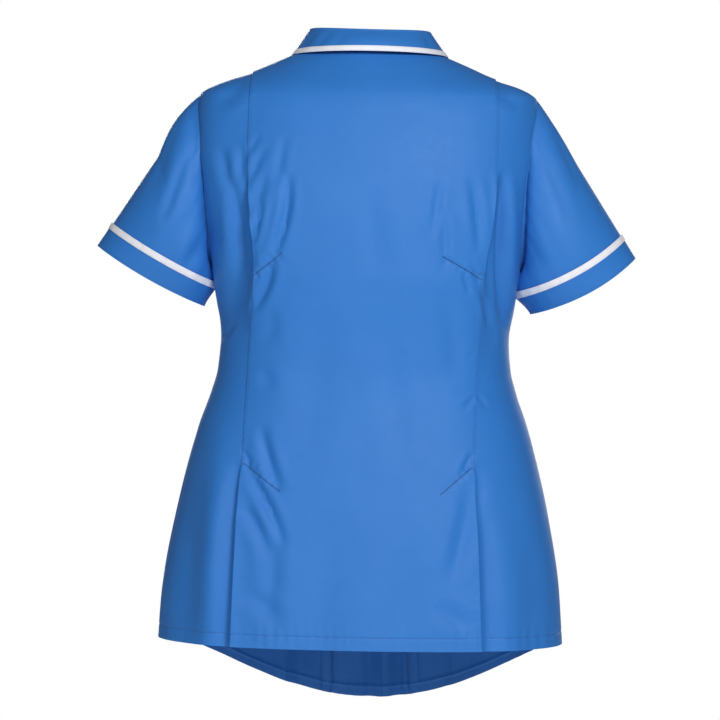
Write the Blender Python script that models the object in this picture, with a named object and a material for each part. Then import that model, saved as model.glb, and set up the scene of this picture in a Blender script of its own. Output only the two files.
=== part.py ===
# Maternity tunic for work wear, filled out as if worn: short set-in sleeves with turned cuffs, a folded
# collar, princess seams in back and front, and knife pleats that open from those seams.
# Metres, +Z up. The back faces +Y and the wearer's left is +X. The origin lies inside the neck opening,
# level with the inner ends of the shoulders, where the wearer carries the garment.
import math
from collections import namedtuple

import bpy
from mathutils import Vector

for thing in list(bpy.data.objects):
    bpy.data.objects.remove(thing, do_unlink=True)

# Cloth
WALL = 0.0012
SEAM_GAP = 0.0003
LAYER = WALL + SEAM_GAP
FOLD_RADIUS = LAYER / 2
BACK, FRONT = 1, -1
LEFT, RIGHT = 1, -1
SIDE_NAMES = {LEFT: "left", RIGHT: "right"}

# Levels of the side line, from the neck point of the shoulder down to the hem
NECK_LEVEL = 0.001
TIP_LEVEL = -0.0525
UNDERARM_LEVEL = -0.262
WAIST_LEVEL = -0.342
HEM_LEVEL = -0.700

# Armholes, sleeves and cuffs. The outer and inner ends of each sleeve hem are in the sleeve's own plane,
# and the bow is how far the hem's middle hangs below the line between them.
BACK_SCOOP = 0.058
FRONT_SCOOP = 0.066
SCOOP_POWER = 0.55
ARMHOLE_STEPS = 10
SleeveHem = namedtuple("SleeveHem", "side outer_x outer_z inner_x inner_z bow")
SLEEVE_HEMS = (
    SleeveHem(LEFT, 0.3225, -0.2345, 0.1935, -0.3035, 0.004),
    SleeveHem(RIGHT, 0.3220, -0.2375, 0.1945, -0.3050, 0.011),
)
SLEEVE_MIDDLE = -0.004
SLEEVE_HALF_DEPTH = 0.050
SLEEVE_FULLNESS = 0.016
SLEEVE_CROWN = 0.004
CROWN_REACH = 0.4
CUFF_DEPTH = 0.032
TAPE_WIDTH = 0.0078
TAPE_OVER_SEAM = 0.001

# Collar: a stand up from the neck seam, a rolled top and an outer leaf down to the outer edge
COLLAR_END = 0.05
STAND_GAP = 0.0010
ROLL_HALF_WIDTH = 0.0712
ROLL_BACK = 0.057
ROLL_FRONT = 0.068
ROLL_LEVEL = 0.0225
ROLL_FRONT_LEVEL = -0.050
ROLL_RADIUS = 0.0020
EDGE_BACK = 0.080
EDGE_BACK_LEVEL = -0.0025
EDGE_SHOULDER_LEVEL = -0.0028
EDGE_POINT_LEVEL = -0.085
EDGE_POINT_OUT = 0.052
COLLAR_OFF_CHEST = 0.0085
COLLAR_BOW = 0.004

# Front opening: the right front laps over the left and takes the buttons
LAP = 0.014
LAP_FADE = 0.060
BUTTON_COUNT = 7
BUTTON_TOP = -0.096
BUTTON_PITCH = 0.085
BUTTON_RADIUS = 0.0075
BUTTON_THICKNESS = 0.0026

# Body sections. Depths run from the side line, dips say how much lower the centre line lies than the side,
# fullness flattens the middle of the section, and sway moves the front's centre towards the wearer's right.
DIP_POWER = 2.3
Section = namedtuple("Section", "level half_width back front back_dip front_dip fullness sway")
SECTIONS = (
    Section(NECK_LEVEL, 0.0800, 0.064, 0.066, 0.010, 0.078, 0.00, 0.000),
    Section(-0.022, 0.1330, 0.083, 0.086, 0.008, 0.066, 0.03, 0.000),
    Section(TIP_LEVEL, 0.2010, 0.103, 0.107, 0.006, 0.052, 0.08, 0.000),
    Section(-0.080, 0.2060, 0.111, 0.117, 0.004, 0.042, 0.14, 0.000),
    Section(-0.120, 0.2060, 0.120, 0.128, 0.002, 0.032, 0.20, 0.000),
    Section(-0.160, 0.2010, 0.126, 0.138, 0.000, 0.024, 0.24, 0.000),
    Section(-0.210, 0.1930, 0.129, 0.150, 0.000, 0.017, 0.26, 0.000),
    Section(UNDERARM_LEVEL, 0.1840, 0.129, 0.154, 0.000, 0.012, 0.26, 0.000),
    Section(-0.300, 0.1775, 0.126, 0.152, 0.000, 0.009, 0.24, 0.000),
    Section(WAIST_LEVEL, 0.1725, 0.122, 0.149, 0.000, 0.008, 0.22, 0.000),
    Section(-0.378, 0.1750, 0.121, 0.150, 0.000, 0.010, 0.22, 0.000),
    Section(-0.402, 0.1815, 0.122, 0.153, 0.000, 0.013, 0.22, 0.000),
    Section(-0.450, 0.1980, 0.128, 0.160, 0.000, 0.022, 0.22, 0.001),
    Section(-0.498, 0.2110, 0.135, 0.166, 0.000, 0.034, 0.22, 0.002),
    Section(-0.570, 0.2265, 0.144, 0.173, 0.000, 0.052, 0.22, 0.004),
    Section(-0.642, 0.2370, 0.151, 0.177, 0.000, 0.071, 0.22, 0.006),
    Section(HEM_LEVEL, 0.2410, 0.155, 0.179, 0.000, 0.089, 0.22, 0.008),
)

# Seam and pleat lines. The line is the distance of the folded edge from the centre, tuck the cloth folded
# under it, lift how far the edge stands up, and valley how deep the cloth beside it falls in.
Pleat = namedtuple("Pleat", "level line tuck lift valley")
BACK_PLEAT = (
    Pleat(NECK_LEVEL, 0.1430, 0.008, 0.000, 0.000),
    Pleat(-0.090, 0.1455, 0.008, 0.000, 0.000),
    Pleat(-0.140, 0.1442, 0.010, 0.000, 0.001),
    Pleat(-0.168, 0.1425, 0.036, 0.002, 0.005),
    Pleat(-0.220, 0.1360, 0.042, 0.005, 0.010),
    Pleat(-0.248, 0.1322, 0.042, 0.004, 0.012),
    Pleat(-0.276, 0.1316, 0.009, 0.000, 0.010),
    Pleat(-0.310, 0.1312, 0.008, 0.000, 0.006),
    Pleat(-0.350, 0.1324, 0.008, 0.000, 0.001),
    Pleat(-0.484, 0.1334, 0.009, 0.000, 0.000),
    Pleat(-0.514, 0.1356, 0.042, 0.003, 0.004),
    Pleat(-0.600, 0.1388, 0.042, 0.004, 0.006),
    Pleat(HEM_LEVEL, 0.1425, 0.042, 0.005, 0.007),
)
FRONT_PLEAT = (
    Pleat(NECK_LEVEL, 0.1280, 0.008, 0.000, 0.000),
    Pleat(-0.100, 0.1180, 0.008, 0.000, 0.000),
    Pleat(-0.200, 0.1040, 0.008, 0.000, 0.000),
    Pleat(-0.300, 0.0920, 0.008, 0.000, 0.000),
    Pleat(-0.350, 0.0890, 0.009, 0.000, 0.001),
    Pleat(-0.385, 0.0895, 0.040, 0.002, 0.003),
    Pleat(-0.550, 0.0935, 0.042, 0.004, 0.006),
    Pleat(HEM_LEVEL, 0.0970, 0.042, 0.005, 0.008),
)
BACK_STEPS = 4
FRONT_STEPS = 3
LIFT_REACH = 0.060
VALLEY_PLACE = 0.024

# Largest folds, as troughs from a top end to a low end of the face that they lie in
Fold = namedtuple("Fold", "face x_top z_top x_low z_low half_width depth")
FOLDS = (
    Fold(BACK, 0.112, -0.160, 0.120, -0.225, 0.010, 0.0030),
    Fold(BACK, 0.084, -0.160, 0.100, -0.255, 0.012, 0.0028),
    Fold(BACK, -0.128, -0.150, -0.134, -0.215, 0.010, 0.0026),
    Fold(BACK, 0.198, -0.560, 0.212, -0.710, 0.016, 0.0050),
    Fold(BACK, -0.190, -0.545, -0.205, -0.710, 0.018, 0.0050),
    Fold(BACK, 0.122, -0.500, 0.086, -0.590, 0.014, 0.0030),
    Fold(BACK, -0.104, -0.510, -0.120, -0.640, 0.016, 0.0030),
    Fold(BACK, 0.036, -0.580, 0.046, -0.710, 0.022, 0.0030),
    Fold(BACK, -0.052, -0.600, -0.056, -0.710, 0.020, 0.0026),
    Fold(FRONT, 0.150, -0.560, 0.172, -0.760, 0.020, 0.0060),
    Fold(FRONT, -0.146, -0.540, -0.166, -0.760, 0.022, 0.0055),
    Fold(FRONT, 0.036, -0.560, 0.040, -0.800, 0.015, 0.0035),
    Fold(FRONT, -0.030, -0.600, -0.036, -0.800, 0.014, 0.0035),
    Fold(FRONT, 0.150, -0.170, 0.120, -0.250, 0.014, 0.0035),
    Fold(FRONT, -0.148, -0.160, -0.118, -0.240, 0.014, 0.0035),
    Fold(FRONT, 0.140, -0.300, 0.120, -0.380, 0.014, 0.0025),
    Fold(FRONT, -0.142, -0.310, -0.124, -0.370, 0.014, 0.0025),
)

# Finishes
Finish = namedtuple("Finish", "colour roughness")
BLUE_CLOTH = Finish((0.052, 0.205, 0.595), 0.62)
WHITE_TAPE = Finish((0.82, 0.82, 0.88), 0.60)
BLUE_BUTTON = Finish((0.035, 0.130, 0.400), 0.35)


def smooth(points, t):
    """Reads a curve that runs through (t, value) points without overshoot."""
    points = sorted(points)
    if t <= points[0][0]:
        return points[0][1]
    if t >= points[-1][0]:
        return points[-1][1]
    spans = [b[0] - a[0] for a, b in zip(points, points[1:])]
    rises = [(b[1] - a[1]) / span for a, b, span in zip(points, points[1:], spans)]
    slopes = [rises[0]]
    for before, after in zip(rises, rises[1:]):
        slopes.append(2 * before * after / (before + after) if before * after > 0 else 0.0)
    slopes.append(rises[-1])
    k = max(i for i in range(len(spans)) if points[i][0] <= t)
    s = (t - points[k][0]) / spans[k]
    start = points[k][1] * (1 + 2 * s) * (1 - s) ** 2 + slopes[k] * spans[k] * s * (1 - s) ** 2
    end = points[k + 1][1] * s * s * (3 - 2 * s) + slopes[k + 1] * spans[k] * s * s * (s - 1)
    return start + end


def column(table, name, level):
    """Reads one named column of a table of levels."""
    return smooth([(row.level, getattr(row, name)) for row in table], level)


def fold_lift(face, x, z):
    """Sum of the troughs at a place of one face."""
    lift = 0.0
    for fold in FOLDS:
        if fold.face != face:
            continue
        run_x, run_z = fold.x_low - fold.x_top, fold.z_low - fold.z_top
        length = math.hypot(run_x, run_z)
        along = ((x - fold.x_top) * run_x + (z - fold.z_top) * run_z) / length ** 2
        across = ((x - fold.x_top) * run_z - (z - fold.z_top) * run_x) / length
        if 0 < along < 1:
            lift -= fold.depth * math.sin(math.pi * along) ** 0.8 * math.exp(-(across / fold.half_width) ** 2)
    return lift


class Ring:
    """One level of the back or the front, read by the angle from the centre line (0) to the side line."""

    def __init__(self, face, level):
        self.face = face
        self.level = level
        depth, dip = ("back", "back_dip") if face == BACK else ("front", "front_dip")
        names = {"half_width": "half_width", "depth": depth, "dip": dip, "fullness": "fullness"}
        step = 0.002
        self.rate = {}
        for key, name in names.items():
            setattr(self, key, column(SECTIONS, name, level))
            high, low = min(level + step, NECK_LEVEL), max(level - step, HEM_LEVEL)
            self.rate[key] = (column(SECTIONS, name, high) - column(SECTIONS, name, low)) / (high - low)
        self.sway = column(SECTIONS, "sway", level) if face == FRONT else 0.0
        pleat = BACK_PLEAT if face == BACK else FRONT_PLEAT
        self.tuck = column(pleat, "tuck", level)
        self.lift = column(pleat, "lift", level)
        self.valley = column(pleat, "valley", level)
        line = min(column(pleat, "line", level) / self.half_width, 1.0)
        edge_room = FOLD_RADIUS + WALL / 2 + SEAM_GAP
        last = math.pi / 2 - edge_room / self.speed(math.pi / 2)
        self.line_angle = min(math.asin(line), last)
        self.tuck_angle = self.tuck / self.speed(self.line_angle)

    def across(self, angle):
        """Direction of rising angle, not unit length."""
        sine, cosine = math.sin(angle), math.cos(angle)
        bend = sine * (1 + self.fullness * (sine * sine - 2 * cosine * cosine))
        rise = DIP_POWER * self.dip * sine * max(cosine, 0.0) ** (DIP_POWER - 1)
        return Vector((self.half_width * cosine, -self.face * self.depth * bend, rise))

    def speed(self, angle):
        """Metres of cloth across the ring for each radian."""
        return self.across(angle).length

    def outward(self, angle):
        """Way the surface faces at an angle on the wearer's left."""
        sine, cosine = math.sin(angle), math.cos(angle)
        full = 1 + self.fullness * sine * sine
        rise = self.rate["depth"] * full + self.depth * self.rate["fullness"] * sine * sine
        upward = Vector((
            self.rate["half_width"] * sine,
            self.face * rise * cosine,
            1 - self.rate["dip"] * max(cosine, 0.0) ** DIP_POWER,
        ))
        return (upward.cross(self.across(angle)) * self.face).normalized()

    def place(self, side, angle, lift=0.0, turn=None):
        """Middle point of the cloth and the way it faces, on one side of the body and lifted off it. With a
        turn, lift gives the centre line of a rounded fold and turn how far round the fold the point lies."""
        sine, cosine = math.sin(angle), math.cos(angle)
        point = Vector((
            self.half_width * sine,
            self.face * (SEAM_GAP / 2 + self.depth * cosine * (1 + self.fullness * sine * sine)),
            self.level - self.dip * max(cosine, 0.0) ** DIP_POWER,
        ))
        lift += fold_lift(self.face, side * point.x, point.z)
        outward = self.outward(angle)
        facing = outward.copy()
        point += outward * lift
        if turn is not None:
            facing = outward * math.cos(turn) + self.across(angle).normalized() * math.sin(turn)
            point += facing * FOLD_RADIUS
        point.x = side * point.x - self.sway * cosine
        facing.x *= side
        return point, facing

    def angle_of(self, distance):
        """Angle at a distance from the centre line, which may lie past it."""
        return math.asin(max(-1.0, min(1.0, distance / self.half_width)))

    def side_angle(self):
        """Angle of the side seam, or of the armhole between the shoulder and the underarm."""
        t = (TIP_LEVEL - self.level) / (TIP_LEVEL - UNDERARM_LEVEL)
        if not 0 < t < 1:
            return math.pi / 2
        scoop = BACK_SCOOP if self.face == BACK else FRONT_SCOOP
        return math.pi / 2 - scoop * math.sin(math.pi * t) ** SCOOP_POWER / self.speed(math.pi / 2)


def faced(grid, closed=False):
    """Gives each point of a grid the way its surface faces there: to the right of rows that run down."""
    rows, columns = len(grid), len(grid[0])
    result = []
    for j in range(rows):
        row = []
        for i in range(columns):
            left, right = (i - 1, (i + 1) % columns) if closed else (max(i - 1, 0), min(i + 1, columns - 1))
            side = grid[j][right] - grid[j][left]
            down = grid[min(j + 1, rows - 1)][i] - grid[max(j - 1, 0)][i]
            row.append((grid[j][i], down.cross(side).normalized()))
        result.append(row)
    return result


def shell(name, grid, finish, closed=False):
    """Builds a wall round a grid of middle points and the ways that it faces there. Each cell is cut along
    its shorter diagonal, so that layers on each other are cut alike."""
    rows, columns = len(grid), len(grid[0])
    middles = [point for row in grid for point, facing in row]
    outer = [point + facing * WALL / 2 for row in grid for point, facing in row]
    inner = [point - facing * WALL / 2 for row in grid for point, facing in row]
    count = rows * columns
    last = columns if closed else columns - 1
    faces = []
    for j in range(rows - 1):
        for i in range(last):
            a, b = j * columns + i, j * columns + (i + 1) % columns
            c, d = b + columns, a + columns
            if (middles[a] - middles[c]).length < (middles[b] - middles[d]).length:
                halves = ((a, d, c), (a, c, b))
            else:
                halves = ((a, d, b), (d, c, b))
            for half in halves:
                faces.append(half)
                faces.append(tuple(k + count for k in reversed(half)))
    for i in range(last):
        a, b = i, (i + 1) % columns
        faces.append((a, b, b + count, a + count))
        a, b = a + count - columns, b + count - columns
        faces.append((b, a, a + count, b + count))
    if not closed:
        for j in range(rows - 1):
            a, b = j * columns, (j + 1) * columns
            faces.append((b, a, a + count, b + count))
            a, b = a + columns - 1, b + columns - 1
            faces.append((a, b, b + count, a + count))
    add_mesh(name, outer + inner, faces, finish)


def add_mesh(name, points, faces, finish):
    """Makes one piece from its points and faces, with a material of its own."""
    mesh = bpy.data.meshes.new(name)
    mesh.from_pydata([tuple(p) for p in points], [], faces)
    mesh.validate()
    mesh.shade_smooth()
    mesh.set_sharp_from_angle(angle=math.radians(50))
    material = bpy.data.materials.new(name)
    material.use_nodes = True
    surface = material.node_tree.nodes["Principled BSDF"]
    surface.inputs["Base Color"].default_value = (*finish.colour, 1.0)
    surface.inputs["Roughness"].default_value = finish.roughness
    surface.inputs["Metallic"].default_value = 0.0
    mesh.materials.append(material)
    thing = bpy.data.objects.new(name, mesh)
    bpy.context.scene.collection.objects.link(thing)


def spread(start, end, steps):
    """Even values from start up to, and without, end."""
    return [start + (end - start) * k / steps for k in range(steps)]


def line_start(face):
    """Level at which the seam line leaves the shoulder seam."""
    pleat = BACK_PLEAT if face == BACK else FRONT_PLEAT
    low, high = TIP_LEVEL, NECK_LEVEL
    for _ in range(30):
        middle = (low + high) / 2
        if column(SECTIONS, "half_width", middle) > column(pleat, "line", middle):
            low = middle
        else:
            high = middle
    return low


def armhole_level(k):
    """Level of the kth row of the armhole, from the shoulder tip (0) to the underarm (ARMHOLE_STEPS)."""
    return TIP_LEVEL + (UNDERARM_LEVEL - TIP_LEVEL) * (1 - math.cos(math.pi * k / ARMHOLE_STEPS)) / 2


def rings(face):
    """The rows of one face, closer together round the armhole's ends and the tops of the pleats."""
    start = line_start(face)
    levels = spread(NECK_LEVEL, start, 2) + spread(start, TIP_LEVEL, 3)
    levels += [armhole_level(k) for k in range(ARMHOLE_STEPS)]
    levels += spread(UNDERARM_LEVEL, WAIST_LEVEL, 3)
    levels += spread(WAIST_LEVEL, HEM_LEVEL, 12) + [HEM_LEVEL]
    return [Ring(face, level) for level in levels]


def flat_angles(ring):
    """Columns of a centre panel, from the centre line or the front edge out to the fold at the seam line."""
    fold, tuck = ring.line_angle, ring.tuck_angle
    inner = [(fold - tuck) * k / BACK_STEPS for k in range(BACK_STEPS)]
    if ring.face == FRONT:
        edge, lap = ring.angle_of(-LAP), ring.angle_of(LAP)
        inner = [edge, 0.0] + [lap + (fold - tuck - lap) * k / FRONT_STEPS for k in range(FRONT_STEPS)]
    return inner + [fold - tuck, fold - tuck / 2, fold]


def over_row(ring, side, extra=None):
    """Middle points of a panel that lies on top at its seam line: across, round the fold and back below."""
    fold, tuck = ring.line_angle, ring.tuck_angle
    points = []
    for angle in flat_angles(ring):
        inward = (fold - angle) * ring.speed(fold)
        rise = ring.lift * max(0.0, 1 - inward / LIFT_REACH) ** 2
        lap = extra(side * ring.half_width * math.sin(angle)) if extra else 0.0
        points.append(ring.place(side, angle, 2 * LAYER + rise + lap))
    centre = LAYER + FOLD_RADIUS
    for turn in (60, 120):
        points.append(ring.place(side, fold, centre + ring.lift, math.radians(turn)))
    for share in (0.0, 0.5, 1.0):
        points.append(ring.place(side, fold - tuck * share, centre + ring.lift * (1 - share), math.pi))
    return points


def under_row(ring, side, steps=5):
    """Middle points of a side panel, from below its neighbour's fold out to the side seam or armhole."""
    fold, tuck = ring.line_angle, ring.tuck_angle
    points = [ring.place(side, fold - tuck * share) for share in (1.0, 0.5, 0.0)]
    end = ring.side_angle()
    for k in range(1, steps + 1):
        angle = fold + (end - fold) * k / steps
        out = (angle - fold) * ring.speed(fold) / VALLEY_PLACE
        points.append(ring.place(side, angle, -ring.valley * (out * math.exp(1 - out)) ** 2))
    return points


def lap_lift(x):
    """How far the right front is raised where it laps over the left one."""
    past = max(0.0, -x - LAP) / (LAP_FADE - LAP)
    return LAYER * max(0.0, 1 - past) ** 2


def facing(side, face, row):
    """Turns a row so that the wall's outer face looks away from the body."""
    return row if side * face < 0 else row[::-1]


def make_panels():
    """Back centre and side panels, and the same in the front, whose centre is parted by the opening."""
    for face, word in ((BACK, "back"), (FRONT, "front")):
        body_rings = rings(face)
        start = line_start(face)
        for side in (LEFT, RIGHT):
            grid = [facing(side, face, under_row(r, side)) for r in body_rings if r.level <= start + 1e-6]
            shell(f"{word}_side_{SIDE_NAMES[side]}", grid, BLUE_CLOTH)
        if face == BACK:
            grid = []
            for ring in body_rings:
                half = {side: over_row(ring, side) for side in (LEFT, RIGHT)}
                grid.append(half[LEFT][:0:-1] + half[RIGHT])
            shell("back_centre", grid, BLUE_CLOTH)
            continue
        for side in (LEFT, RIGHT):
            extra = lap_lift if side == RIGHT else None
            grid = [facing(side, face, over_row(ring, side, extra)) for ring in body_rings]
            shell(f"front_centre_{SIDE_NAMES[side]}", grid, BLUE_CLOTH)


def armhole(side):
    """Points round one armhole, from the shoulder down the back, up the front, just off the panels."""
    points = []
    for face in (BACK, FRONT):
        for k in range(ARMHOLE_STEPS):
            ring = Ring(face, armhole_level(k if face == BACK else ARMHOLE_STEPS - k))
            angle = ring.side_angle()
            across = ring.across(angle).normalized()
            across.x *= side
            points.append(ring.place(side, angle, LAYER)[0] + across * 2 * SEAM_GAP)
    return points


def sleeve_hem(hem):
    """Points round one sleeve hem, one for each point of the armhole."""
    outer = Vector((hem.outer_x, SLEEVE_MIDDLE, hem.outer_z))
    inner = Vector((hem.inner_x, SLEEVE_MIDDLE, hem.inner_z))
    centre, radius = (outer + inner) / 2, (outer - inner) / 2
    down = Vector((radius.z, 0.0, -radius.x)).normalized()
    points = []
    for k in range(2 * ARMHOLE_STEPS):
        turn = math.pi * k / ARMHOLE_STEPS
        point = centre + radius * math.cos(turn) + down * hem.bow * math.sin(turn) ** 2
        point.y += SLEEVE_HALF_DEPTH * math.sin(turn)
        points.append(Vector((hem.side * point.x, point.y, point.z)))
    return points


def sleeve_point(hem, k, top, low, above_hem, lift=0.0):
    """Point of a sleeve on the line between an armhole point and a hem point, above_hem metres up it."""
    share = 1 - above_hem / (low - top).length
    turn = math.pi * k / ARMHOLE_STEPS
    point = top.lerp(low, share)
    point.y += SLEEVE_FULLNESS * math.sin(turn) * math.sin(math.pi * share)
    crown = SLEEVE_CROWN * max(0.0, math.cos(turn)) * math.sin(math.pi * min(1.0, share / CROWN_REACH))
    point += Vector((hem.side * crown, 0.0, crown))
    width = Vector((hem.outer_x - hem.inner_x, 0.0, hem.outer_z - hem.inner_z))
    radius = width.normalized() * math.cos(turn)
    outward = Vector((hem.side * radius.x, math.sin(turn), radius.z))
    return point + outward.normalized() * lift


def make_sleeves():
    """Set-in sleeves, each with its cuff and the tape over the seam between them."""
    sleeve_rows = 7
    for hem in SLEEVE_HEMS:
        side, word = hem.side, SIDE_NAMES[hem.side]
        tops, lows = armhole(side), sleeve_hem(hem)
        lengths = [(low - top).length for top, low in zip(tops, lows)]

        def tube(name, heights, finish, lift=0.0):
            """A tube through rows of heights above the hem."""
            grid = []
            for row_heights in heights:
                row = []
                for k, above in enumerate(row_heights):
                    row.append(sleeve_point(hem, k, tops[k], lows[k], above, lift))
                grid.append(row if side == RIGHT else row[::-1])
            shell(f"{name}_{word}", faced(grid, closed=True), finish, closed=True)

        rows = []
        for j in range(sleeve_rows + 1):
            rows.append([length + (CUFF_DEPTH - length) * j / sleeve_rows for length in lengths])
        tube("sleeve", rows, BLUE_CLOTH)
        cuff_top = CUFF_DEPTH - SEAM_GAP
        tube("cuff", [[height] * len(tops) for height in (cuff_top, cuff_top / 2, 0.0)], BLUE_CLOTH)
        tape_top = CUFF_DEPTH + TAPE_OVER_SEAM
        tape = [[height] * len(tops) for height in (tape_top, tape_top - TAPE_WIDTH)]
        tube("cuff_tape", tape, WHITE_TAPE, LAYER + SEAM_GAP)


def neck_seam(turn):
    """Lower edge of the collar's stand, just above the panels' neck edge. Turn 0 is the back, 180 the front."""
    side = LEFT if turn >= 0 else RIGHT
    face, angle = (BACK, abs(turn)) if abs(turn) <= math.pi / 2 else (FRONT, math.pi - abs(turn))
    ring = Ring(face, NECK_LEVEL)
    point = ring.place(side, angle, 2 * LAYER)[0]
    upward = ring.across(angle).cross(ring.outward(angle)).normalized() * face
    return point + Vector((side * upward.x, upward.y, upward.z)) * STAND_GAP


def roll_line(turn):
    """Centre line of the collar's rolled top edge."""
    sine, cosine = math.sin(turn), math.cos(turn)
    if cosine >= 0:
        return Vector((ROLL_HALF_WIDTH * sine, ROLL_BACK * cosine, ROLL_LEVEL))
    drop = (ROLL_FRONT_LEVEL - ROLL_LEVEL) * cosine * cosine
    return Vector((ROLL_HALF_WIDTH * sine, ROLL_FRONT * cosine, ROLL_LEVEL + drop))


def outer_edge(turn):
    """Outer edge of the collar: level round the back, then down over the chest to the collar's points."""
    side = LEFT if turn >= 0 else RIGHT
    past = max(0.0, (abs(turn) - math.pi / 2) / (math.pi / 2 - COLLAR_END))
    level = EDGE_SHOULDER_LEVEL + (EDGE_POINT_LEVEL - EDGE_SHOULDER_LEVEL) * past * past
    ring = Ring(FRONT, level)
    shoulder = ring.half_width if past == 0 else column(SECTIONS, "half_width", EDGE_SHOULDER_LEVEL)
    out = shoulder + (EDGE_POINT_OUT - shoulder) * past
    point = ring.place(side, ring.angle_of(out), COLLAR_OFF_CHEST)[0]
    if past > 0:
        return point
    sine, cosine = math.sin(turn), math.cos(turn)
    height = EDGE_BACK_LEVEL + (point.z - EDGE_BACK_LEVEL) * sine * sine
    return Vector((abs(point.x) * sine, EDGE_BACK * cosine, height))


def fall_point(turn, share, lift=0.0):
    """Point of the collar's outer leaf, from the roll line (0) to the outer edge (1)."""
    outward = Vector((math.sin(turn), math.cos(turn), 0.0))
    top, low = roll_line(turn) + outward * ROLL_RADIUS, outer_edge(turn)
    point = top.lerp(low, share) + outward * COLLAR_BOW * math.sin(math.pi * share)
    if lift:
        step = 0.01
        around = fall_point(turn + step, share) - fall_point(turn - step, share)
        down = low - top
        point += around.cross(down).normalized() * -lift
    return point


def make_collar():
    """One wall from the neck seam up the stand, over the roll and down the outer leaf, and its tape."""
    back = flat_angles(Ring(BACK, NECK_LEVEL))
    front = [math.pi - angle for angle in flat_angles(Ring(FRONT, NECK_LEVEL))[2:]]
    half = back + front[::-1] + [math.pi - COLLAR_END]
    turns = half[:0:-1] + [-turn for turn in half]
    rows = []
    for share in (0.0, 0.5, 1.0):
        row = []
        for turn in turns:
            inward = Vector((-math.sin(turn), -math.cos(turn), 0.0)) * ROLL_RADIUS
            row.append(neck_seam(turn).lerp(roll_line(turn) + inward, share))
        rows.append(row)
    rows.append([roll_line(turn) + Vector((0.0, 0.0, ROLL_RADIUS)) for turn in turns])
    for share in (0.0, 0.3, 0.65, 1.0):
        rows.append([fall_point(turn, share) for turn in turns])
    shell("collar", faced(rows), BLUE_CLOTH)
    tape = []
    for width in (TAPE_WIDTH, 0.0):
        row = []
        for turn in turns:
            depth = (fall_point(turn, 1.0) - fall_point(turn, 0.0)).length
            row.append(fall_point(turn, 1 - width / depth, LAYER + 2 * SEAM_GAP))
        tape.append(row)
    shell("collar_tape", faced(tape), WHITE_TAPE)


def make_buttons():
    """Flat round buttons down the lap of the front."""
    sides = 16
    for number in range(BUTTON_COUNT):
        height = BUTTON_TOP - BUTTON_PITCH * number
        level = height
        for _ in range(20):
            level = height + column(SECTIONS, "front_dip", level)
        ring = Ring(FRONT, level)
        outward = ring.outward(0.0)
        seat = ring.place(RIGHT, 0.0, 3 * LAYER + WALL / 2 + 2 * SEAM_GAP)[0]
        right = Vector((1.0, 0.0, 0.0))
        upward = outward.cross(right).normalized()
        profile = ((0.0, 0.7), (0.2, 1.0), (0.8, 1.0), (1.0, 0.85))
        points = []
        for rise, width in profile:
            for k in range(sides):
                turn = 2 * math.pi * k / sides
                flat = right * math.cos(turn) + upward * math.sin(turn)
                points.append(seat + outward * BUTTON_THICKNESS * rise + flat * BUTTON_RADIUS * width)
        faces = [tuple(range(sides - 1, -1, -1)), tuple(range(len(points) - sides, len(points)))]
        for j in range(len(profile) - 1):
            for k in range(sides):
                a, b = j * sides + k, j * sides + (k + 1) % sides
                faces.append((a, b, b + sides, a + sides))
        add_mesh(f"button_{number + 1}", points, faces, BLUE_BUTTON)


make_panels()
make_sleeves()
make_collar()
make_buttons()
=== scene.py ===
import math
from collections import namedtuple

import bpy
import numpy as np
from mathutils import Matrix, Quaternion, Vector


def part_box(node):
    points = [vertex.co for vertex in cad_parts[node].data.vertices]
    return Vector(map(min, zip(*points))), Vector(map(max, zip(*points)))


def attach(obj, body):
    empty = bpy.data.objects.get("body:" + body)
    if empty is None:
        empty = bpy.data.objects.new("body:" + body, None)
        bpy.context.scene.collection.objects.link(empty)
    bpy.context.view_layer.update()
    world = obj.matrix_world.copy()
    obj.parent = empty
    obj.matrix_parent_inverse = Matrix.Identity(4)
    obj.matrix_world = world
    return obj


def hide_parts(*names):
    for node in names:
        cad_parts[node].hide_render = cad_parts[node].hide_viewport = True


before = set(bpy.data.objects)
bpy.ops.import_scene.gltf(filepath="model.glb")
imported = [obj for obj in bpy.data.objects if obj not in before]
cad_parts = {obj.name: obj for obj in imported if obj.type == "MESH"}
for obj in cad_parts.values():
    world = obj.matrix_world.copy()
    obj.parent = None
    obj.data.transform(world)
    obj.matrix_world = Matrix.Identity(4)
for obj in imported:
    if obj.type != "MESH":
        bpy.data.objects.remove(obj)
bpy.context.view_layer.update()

# Back centre panel. One length of smooth blue poly-cotton twill, cut wide and tucked under along both long
# edges. The tucks are sewn shut at the shoulder, waist and hip, and fall open as knife pleats in between.
CLOTH = 0.0006
SEAM_GAP = 0.0003
LAYER = 0.0008
FOLD_RADIUS = LAYER / 2
NECK_LEVEL = 0.001
TIP_LEVEL = -0.0525
UNDERARM_LEVEL = -0.262
HEM_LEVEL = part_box("back_side_left")[0][2]
LEFT, RIGHT = 1, -1
SIDE_NAMES = {LEFT: "left", RIGHT: "right"}
DIP_POWER = 2.3
SCOOP_POWER = 0.55
LIFT_REACH = 0.060
HEM_DEPTH = 0.0004
ROW_STEP = 0.0023

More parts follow.
